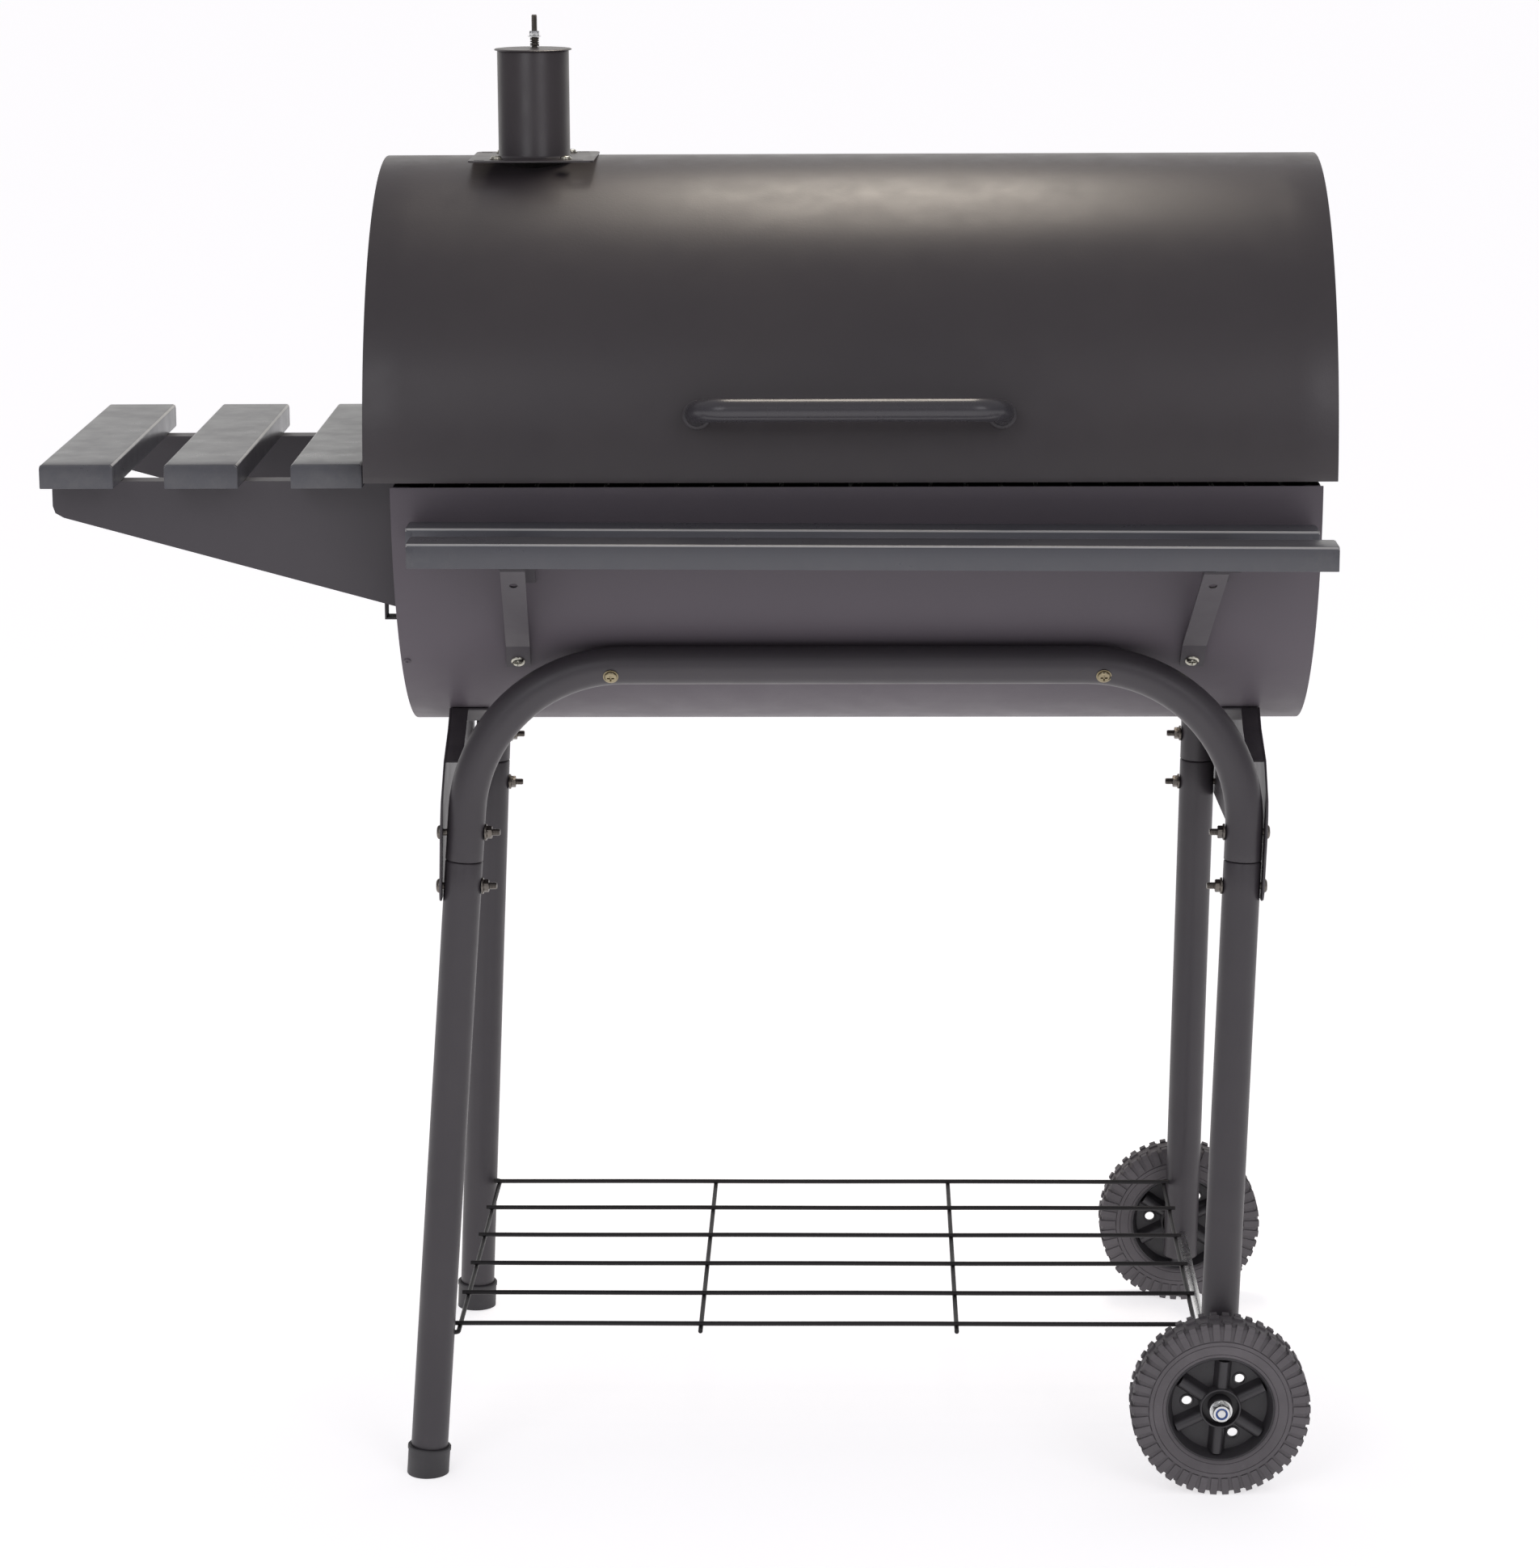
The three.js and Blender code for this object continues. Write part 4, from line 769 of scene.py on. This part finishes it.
wheel(False)
wheel(True)
end = WHEEL_IN + WHEEL_WIDTH + 9.2      # the axle stands out past its nuts
make("axle_rod", lathe([(0, -end), (3.2, -end), (4, -end + 0.9), (4, end - 0.9), (3.2, end), (0, end)],
                       (AXLE_X, 0, AXLE_Z), (0, 1, 0), 32), "stand", "zinc", ["axle"])
for rear in (False, True):
    sgn = 1 if rear else -1
    tag = "rear" if rear else "front"
    face = sgn * (WHEEL_IN + WHEEL_WIDTH + 0.3)
    nut = hex_nut((AXLE_X, face, AXLE_Z), (0, sgn, 0), 14.0, 6.0, 4.2, washer=9.6)
    nut.join(lathe([(4.2, 7.0), (7.4, 7.0), (7.4, 8.0), (6.9, 8.8), (5.2, 8.8), (5.1, 8.3), (4.2, 8.3)],
                   (AXLE_X, face, AXLE_Z), (0, sgn, 0), 40, closed=True))
    make(f"{tag}_lock_nut", nut, "stand", "zinc", [f"{tag}_axle_nut"], weld=False)
    insert = lathe([(4.1, 8.0), (5.1, 8.0), (5.1, 8.45), (4.1, 8.45)], (AXLE_X, face, AXLE_Z),
                   (0, sgn, 0), 40, closed=True)
    make(f"{tag}_nut_insert", insert, "stand", "nylon")


# ---- wire shelf --------------------------------------------------------------------------
def wire_shelf():
    z = 132.0
    pitch, count = 82.0, 6
    under = z - 3.6
    reach = pitch * (count - 1) / 2

    def hook(rear, left):
        zz = under
        inward = 1 if left else -1
        return leg_x(rear, left, zz) + inward * TUBE_R, (1 if rear else -1) * leg_y(zz)

    def side_x(y, left):
        x, _ = hook(y > 0, left)
        return x + (3 if left else -3)
    s = Shape()
    for i in range(count):
        y = -reach + pitch * i
        f = (y + reach) / (2 * reach)
        x0 = (1 - f) * side_x(-1, True) + f * side_x(1, True) - 5
        x1 = (1 - f) * side_x(-1, False) + f * side_x(1, False) + 5
        n = 10
        line = [(x0 + (x1 - x0) * k / n, y + 0.35 * math.sin(k * 1.3 + i), z) for k in range(n + 1)]
        s.join(sweep(line, 2.0, 14))
    for x in (-134.0, 86.0):
        s.join(sweep([(x, -reach - 10, under), (x, 0, under), (x, reach + 6, under)], 2.0, 14))
    for left in (True, False):
        inward = 1 if left else -1
        fx, fy = hook(False, left)
        rx, ry = hook(True, left)
        fx2, rx2 = fx + inward * 3, rx + inward * 3
        line = [(fx - inward * 5, fy, under), (fx2 - inward * 3, fy, under)]
        for k in range(1, 6):
            a = math.radians(18 * k)
            line.append((fx2 - inward * 3 * (1 - math.sin(a)), fy + 3 * (1 - math.cos(a)), under))
        for k in range(5, 0, -1):
            a = math.radians(18 * k)
            line.append((rx2 - inward * 3 * (1 - math.sin(a)), ry - 3 * (1 - math.cos(a)), under))
        line += [(rx2 - inward * 3, ry, under), (rx - inward * 5, ry, under)]
        s.join(sweep(line, 2.0, 14))
    return s


make("shelf_wires", wire_shelf(), "stand", "wire", ["wire_shelf"], weld=False)


# ---- grates ----------------------------------------------------------------------------------
def grate(name, x0, x1, half, z, pitch):
    s = Shape()
    r = 2.4
    loop = [(x0 + 6, -half, z), (x1 - 6, -half, z), (x1, -half + 6, z), (x1, half - 6, z), (x1 - 6, half, z),
            (x0 + 6, half, z), (x0, half - 6, z), (x0, -half + 6, z), (x0 + 6, -half, z)]
    s.join(sweep(loop, r, 10))
    count = round((x1 - x0) / pitch)
    for i in range(1, count):
        x = x0 + (x1 - x0) * i / count
        s.join(sweep([(x, -half, z), (x, 0, z), (x, half, z)], r - 0.3, 8))
    make(name + "_bars", s, "stand", "grate", [name], weld=False)


INSIDE = 362.0
GRATE_Z, COAL_Z = 842, 728
grate("cooking_grate_left", -INSIDE, -4, 206, GRATE_Z, 30)
grate("cooking_grate_right", 4, INSIDE, 206, GRATE_Z, 30)
grate("charcoal_grate", -INSIDE, INSIDE, 186, COAL_Z, 40)


# ---- shelves -------------------------------------------------------------------------------------
def slat(name, node, along, extent, turn):
    """Folded channel: rounded top edges, end flaps, and tabs that close the corners."""
    x0, x1, y0, y1, z0, z1 = extent
    t = 1.2
    rad = 2.6
    # section across the slat, swept along it
    if along == "y":
        w0, w1, l0, l1 = x0, x1, y0, y1
    else:
        w0, w1, l0, l1 = y0, y1, x0, x1
    sec = [(w0, z0)]
    for k in range(5):
        q = math.radians(22.5 * k)
        sec.append((w0 + rad * (1 - math.cos(q)), z1 - rad * (1 - math.sin(q))))
    for k in range(5):
        q = math.radians(90 - 22.5 * k)
        sec.append((w1 - rad * (1 - math.cos(q)), z1 - rad * (1 - math.sin(q))))
    sec += [(w1, z0), (w1 - t, z0), (w1 - t, z1 - rad), (w1 - rad, z1 - t), (w0 + rad, z1 - t),
            (w0 + t, z1 - rad), (w0 + t, z0)]
    n = 16
    rows = []
    for i in range(n + 1):
        f = l0 + 1.0 + (l1 - l0 - 2.0) * i / n
        ring = []
        for p, q in sec:
            ring.append((p, f, q) if along == "y" else (f, p, q))
        rows.append(ring)
    s = grid(rows, closed_u=True)
    m = len(sec)
    s.f.append(tuple(reversed(range(m))))
    s.f.append(tuple(range(n * m, (n + 1) * m)))
    # end flaps, folded down from the top
    for e, at in ((-1, l0), (1, l1)):
        flap = [(w0 + 0.35, z0), (w0 + 0.35, z1 - 2.6), (w0 + 2.8, z1 - 0.35), (w1 - 2.8, z1 - 0.35),
                (w1 - 0.35, z1 - 2.6), (w1 - 0.35, z0)]
        lo_, hi_ = (at, at + 1.2) if e < 0 else (at - 1.2, at)
        s.join(prism(flap, along, lo_, hi_))
        # wrapped tabs that close the corner
        for wall in (w0, w1):
            ww0, ww1 = (wall - 0.05, wall + 1.0) if wall == w0 else (wall - 1.0, wall + 0.05)
            l_a, l_b = (at + 0.4, at + 6.0) if e < 0 else (at - 6.0, at - 0.4)
            if along == "y":
                s.join(box(ww0, ww1, l_a, l_b, z0 + 0.6, z1 - 3.0))
            else:
                s.join(box(l_a, l_b, ww0, ww1, z0 + 0.6, z1 - 3.0))
    mid = Vector(((x0 + x1) / 2, (y0 + y1) / 2, z1))
    about = Matrix.Rotation(math.radians(turn), 4, "Z" if along == "y" else "Y")
    spin = Matrix.Translation(mid) @ about @ Matrix.Translation(-mid)
    ob = make(name, s.moved(spin), "stand", "slat", [node], bevel=0.45, angle=40, segs=2, weld=False)
    # the rounded fold faces get a much lighter paint: a painted highlight along the edges
    ob.data.materials.append(MATERIALS["slat_edge_highlight"])
    for face in ob.data.polygons:
        if max(abs(q) for q in face.normal) < 0.9:
            face.material_index = 1
    return ob


BOARD_H = 20
SIDE_TOP_Z = 879
SIDE_TURN = 0.6                     # degrees: the side boards sit a little askew
SIDE_SLATS = {"outer": (-647.0, 61.0), "middle": (-543.5, 61.0), "inner": (-439.5, 59.0)}
for where, (x, wide) in SIDE_SLATS.items():
    slat(f"side_board_{where}", f"side_slat_{where}", "y",
         (x - wide / 2, x + wide / 2, -212, 172, SIDE_TOP_Z - BOARD_H, SIDE_TOP_Z), SIDE_TURN)
FRONT_TOP_Z = 834.9
FRONT_HALF = 371                    # half a front board's length
TILT = 0.3                          # the front shelf's left end sits higher, in degrees
FRONT_SLATS = {"inner": (5.0, -264.0, 36.0), "outer": (13.0, -341.0, 39.0)}
for where, (x, y, wide) in FRONT_SLATS.items():
    top = FRONT_TOP_Z - x * math.tan(math.radians(TILT))
    slat(f"front_board_{where}", f"front_slat_{where}", "x",
         (x - FRONT_HALF, x + FRONT_HALF, y - wide / 2, y + wide / 2, top - BOARD_H, top), TILT)


def keep(node):
    """A CAD node that stays as it is, with softened edges and a finish."""
    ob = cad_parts[node]
    ob.data.materials.clear()
    ob.data.materials.append(MATERIALS["plate_paint"])
    m = ob.modifiers.new("soft_edges", "BEVEL")
    m.width = 0.0005
    m.segments = 2
    m.limit_method = "ANGLE"
    m.angle_limit = math.radians(40)
    m.harden_normals = False


for node in ("side_bracket_front", "side_bracket_rear", "front_arm_left", "front_arm_right",
             "front_strut_left", "front_strut_right", "vent_guide", "vent_shutter", "front_grate_rest",
             "rear_grate_rest", "hinge_base_left", "hinge_base_right", "hinge_leaf_left", "hinge_leaf_right"):
    keep(node)

# strut screws on the barrel
s = Shape()
for x in (-283.4, 281.2):
    y, z = polar(BARREL_R + 2.6, 221.3)
    out = Vector((0, y, z - AXIS_Z)).normalized()
    s.join(pan_head((x, y, z), out, 6.0, 2.6))
make("strut_screws", s, "stand", "bright_screw", weld=False)

# screws under the side shelf's boards, at the brackets
s = Shape()
for x, wide in SIDE_SLATS.values():
    for y in (-157.0, 117.0):
        s.join(pan_head((x, y, 856.9), (0, 0, -1), 4.0, 2.0))
make("slat_screws", s, "stand", "screw", weld=False)


# ---- lid handle -------------------------------------------------------------------------------------
def handle():
    """Round bar on two bent ends, with a collar at each foot."""
    grip_z, grip_r, half_length, standoff, bend = 923.0, 9.5, 134.0, 45.0, 26.0
    rise = math.asin((grip_z - AXIS_Z) / LID_R)
    ux, uz = -math.cos(rise), math.sin(rise)
    cx = (LID_X0 + LID_X1) / 2
    end = half_length - grip_r
    s0, s1 = LID_R + 0.6, LID_R + standoff

    def at(x, s):
        return (cx + x, ux * s, AXIS_Z + uz * s)
    pts = [at(-end, s0), at(-end, (s0 + s1 - bend) / 2)]
    for k in range(15):
        a = math.radians(90 * k / 14)
        pts.append(at(-end + bend * (1 - math.cos(a)), s1 - bend * (1 - math.sin(a))))
    left = list(pts)
    mid = [at(-end + bend + (2 * end - 2 * bend) * k / 10, s1) for k in range(1, 10)]
    right = [(2 * cx - p[0], p[1], p[2]) for p in reversed(left)]
    tube = sweep(left + mid + right, grip_r, 40)
    make("grip_tube", tube, "lid", "handle", ["lid_handle"])
    rings = Shape()
    for x in (-end, end):
        rings.join(lathe([(9.3, 0.4), (12.0, 0.4), (12.0, 1.8), (11.2, 2.6), (9.6, 3.0), (9.3, 3.0)],
                         at(x, LID_R), (0, ux, uz), 40, closed=True))
    make("grip_collars", rings, "lid", "frame_paint", weld=False)


handle()


# ---- chimney -------------------------------------------------------------------------------------------
def chimney():
    a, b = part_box("chimney")
    z0, z1 = a.z * 1000 + GROUND, b.z * 1000 + GROUND
    top = z0 + SHEET
    prof = [(30.5, top + 2.2), (30.5, z1 - 0.5), (30.2, z1), (29.3, z1), (29.0, z1 - 0.5), (29.0, top - 1.4),
            (33.0, top - 1.4), (33.4, top - 0.2), (32.4, top + 0.2), (31.2, top + 1.0)]
    s = lathe(prof, (STACK_X, STACK_Y, 0), (0, 0, 1), 96, closed=True)
    make("stack_pipe", s, "lid", "lid_paint", ["chimney"])
    # rolled pipe seam at the back
    seam = box(STACK_X - 3, STACK_X + 3, STACK_Y + 30.3, STACK_Y + 31.2, top + 2, z1 - 1)
    make("stack_seam", seam, "lid", "lid_paint", bevel=0.3)
    h = 53.0
    c = 6.0
    corners = []
    for sx, sy, a0 in ((1, 1, 0), (-1, 1, 90), (-1, -1, 180), (1, -1, 270)):
        for k in range(7):
            q = math.radians(a0 + 15 * k)
            corners.append((STACK_X + sx * (h - c) + c * math.cos(q),
                            STACK_Y + sy * (h - c) + c * math.sin(q)))
    plate = make("stack_flange", prism(corners, "z", z0, top), "lid", "lid_paint", bevel=0.4, angle=50)
    cutters = [lathe([(0, -8), (29.0, -8), (29.0, 8), (0, 8)], (STACK_X, STACK_Y, top), (0, 0, 1), 64)]
    for dx in (-44.0, 39.5):
        for sy in (-1, 1):
            x, y = STACK_X + dx, STACK_Y + sy * 44
            slot = [(x - 4.5, y - 1.8), (x + 4.5, y - 1.8), (x + 4.5, y + 1.8), (x - 4.5, y + 1.8)]
            cutters.append(prism(slot, "z", top - 6, top + 6))
    cut_with(plate, cutters).visible_shadow = False
    s = Shape()
    for dx in (-30.0, 28.8):
        for sy in (-1, 1):
            s.join(pan_head((STACK_X + dx, STACK_Y + sy * 36, top), (0, 0, 1), 4.6, 2.2, washer=5.6))
    make("stack_screws", s, "lid", "bright_screw", weld=False)
    # damper tab, cap, bolt, spring, washer, nut
    py = STACK_Y + 21.0
    tab = box(STACK_X - 7, STACK_X + 7, py - 7, STACK_Y + 29.6, z1 - 10, z1 - 8)
    make("damper_tab", tab, "lid", "lid_paint", bevel=0.4)
    cz = z1 + 0.3
    prof = [(0, 1.0), (20, 1.2), (30.5, 1.5), (32.2, 1.3), (33.0, 0.7), (32.6, 0.05), (0, 0.05)]
    cap = make("stack_cap", lathe(prof, (STACK_X, STACK_Y, cz), (0, 0, 1), 96), "cap", "lid_paint",
               ["chimney_cap"])
    cut_with(cap, [lathe([(0, -4), (2.7, -4), (2.7, 5), (0, 5)], (STACK_X, py, cz), (0, 0, 1), 32)])
    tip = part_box("damper_bolt")[1].z * 1000 + GROUND
    s = Shape()
    s.join(pan_head((STACK_X, py, cz - 10.8), (0, 0, -1), 4.5, 3.0))
    s.join(sweep([(STACK_X, py, cz - 11), (STACK_X, py, cz + 2)], 2.35, 20))
    s.join(thread((STACK_X, py, cz + 2), (0, 0, 1), tip - cz - 2, 2.5, 0.8))
    make("cap_bolt", s, "lid", "screw", ["damper_bolt"], weld=False)
    base = cz + 1.9
    coil = []
    turns = 5
    for k in range(turns * 20 + 1):
        a = 2 * math.pi * k / 20
        f = k / (turns * 20)
        lift = f * f * (3 - 2 * f)
        coil.append((STACK_X + 3.4 * math.cos(a), py + 3.4 * math.sin(a),
                     base + 0.7 + 6.6 * (0.3 * f + 0.7 * lift)))
    make("cap_spring", sweep(coil, 0.55, 10), "lid", "screw", ["damper_spring"], weld=False)
    nut = lathe([(2.6, 0), (5.6, 0), (5.6, 0.8), (2.6, 0.8)], (STACK_X, py, base + 8.2), (0, 0, 1), 32,
                closed=True)
    nut.join(hex_nut((STACK_X, py, base + 9.1), (0, 0, 1), 8.2, 4.0, 2.55))
    make("cap_nut", nut, "lid", "zinc", ["damper_nut"], weld=False)


chimney()

# ---- floor, light, camera ---------------------------------------------------------------------------------
me = bpy.data.meshes.new("floor")
me.from_pydata([(-40, -40, 0), (40, -40, 0), (40, 40, 0), (-40, 40, 0)], [], [(0, 1, 2, 3)])
floor = bpy.data.objects.new("floor", me)
bpy.context.scene.collection.objects.link(floor)
fm = bpy.data.materials.new("floor_white")
fm.use_nodes = True
white = fm.node_tree.nodes["Principled BSDF"]
white.inputs["Base Color"].default_value = (0.86, 0.86, 0.86, 1)
white.inputs["Roughness"].default_value = 0.9
white.inputs["Specular IOR Level"].default_value = 0.0
white.inputs["Emission Color"].default_value = (1.0, 0.985, 1.0, 1)
white.inputs["Emission Strength"].default_value = 0.62
me.materials.append(fm)

# studio: dim in front, brighter with height, and a bright wall behind
world = bpy.data.worlds.new("studio")
bpy.context.scene.world = world
world.use_nodes = True
wt = world.node_tree


def world_ramp(value, low, high, colours):
    span = wt.nodes.new("ShaderNodeMapRange")
    span.interpolation_type = "SMOOTHSTEP"
    span.inputs["From Min"].default_value = low
    span.inputs["From Max"].default_value = high
    wt.links.new(value, span.inputs["Value"])
    mix = wt.nodes.new("ShaderNodeMix")
    mix.data_type = "RGBA"
    wt.links.new(span.outputs["Result"], mix.inputs[0])
    for value, key in zip(colours, (6, 7)):
        if isinstance(value, tuple):
            mix.inputs[key].default_value = (*value, 1.0)
        else:
            wt.links.new(value, mix.inputs[key])
    return mix.outputs[2]


coord = wt.nodes.new("ShaderNodeTexCoord")
split = wt.nodes.new("ShaderNodeSeparateXYZ")
wt.links.new(coord.outputs["Generated"], split.inputs["Vector"])
front = world_ramp(split.outputs["Z"], 0.05, 0.9, ((0.20, 0.195, 0.21), (0.46, 0.455, 0.47)))
wall = world_ramp(split.outputs["Z"], 0.12, 0.62, ((0.98, 0.97, 0.95), (0.42, 0.41, 0.43)))
sky = world_ramp(split.outputs["Y"], 0.25, 0.85, (front, wall))
wt.links.new(sky, wt.nodes["Background"].inputs["Color"])
wt.nodes["Background"].inputs["Strength"].default_value = 1.0
bpy.context.scene.view_settings.view_transform = "Standard"


def area(name, place, target, size, power, colour, size_y):
    light = bpy.data.lights.new(name, "AREA")
    light.energy = power
    light.color = colour
    light.shape = "RECTANGLE"
    light.size = size
    light.size_y = size_y
    ob = bpy.data.objects.new(name, light)
    ob.location = place
    ob.rotation_euler = (Vector(target) - Vector(place)).to_track_quat("-Z", "Y").to_euler()
    bpy.context.scene.collection.objects.link(ob)


CENTRE_M = CENTRE_X / 1000                      # the barrel's centre, in metres
area("key", (CENTRE_M + 0.03, 0.67, 2.45), (CENTRE_M + 0.03, 0.0, 1.0), 0.50, 11.0, (1.0, 0.90, 0.78), 0.95)
area("fill_left", (CENTRE_M - 1.9, -4.2, 3.0), (CENTRE_M, 0, 0.8), 2.0, 25, (0.96, 0.97, 1.0), 2.0)
area("fill_right", (CENTRE_M + 2.2, -4.2, 3.0), (CENTRE_M, 0, 0.8), 2.0, 27, (0.98, 0.96, 1.0), 2.0)

cam = bpy.data.cameras.new("camera")
camera = bpy.data.objects.new("camera", cam)
bpy.context.scene.collection.objects.link(camera)
bpy.context.scene.camera = camera
FOCAL = 5619.24                     # for an image 1940 high
PITCH, YAW, ROLL = 0.2146, -0.0211, -0.0051
CAMERA_PLACE = Vector((6.01, -3924.46, 1418.12))
cam.sensor_fit = "VERTICAL"
cam.sensor_height = 24.0
cam.lens = FOCAL / 1940.0 * 24.0
cam.clip_end = 60.0
fwd = Vector((math.sin(YAW) * math.cos(PITCH), math.cos(YAW) * math.cos(PITCH), -math.sin(PITCH)))
right = Vector((math.cos(YAW), -math.sin(YAW), 0))
up = right.cross(fwd)
r2 = right * math.cos(ROLL) + up * math.sin(ROLL)
u2 = up * math.cos(ROLL) - right * math.sin(ROLL)
rot = Matrix((r2, u2, -fwd)).transposed()
camera.matrix_world = Matrix.Translation(to_metres(CAMERA_PLACE)) @ rot.to_4x4()
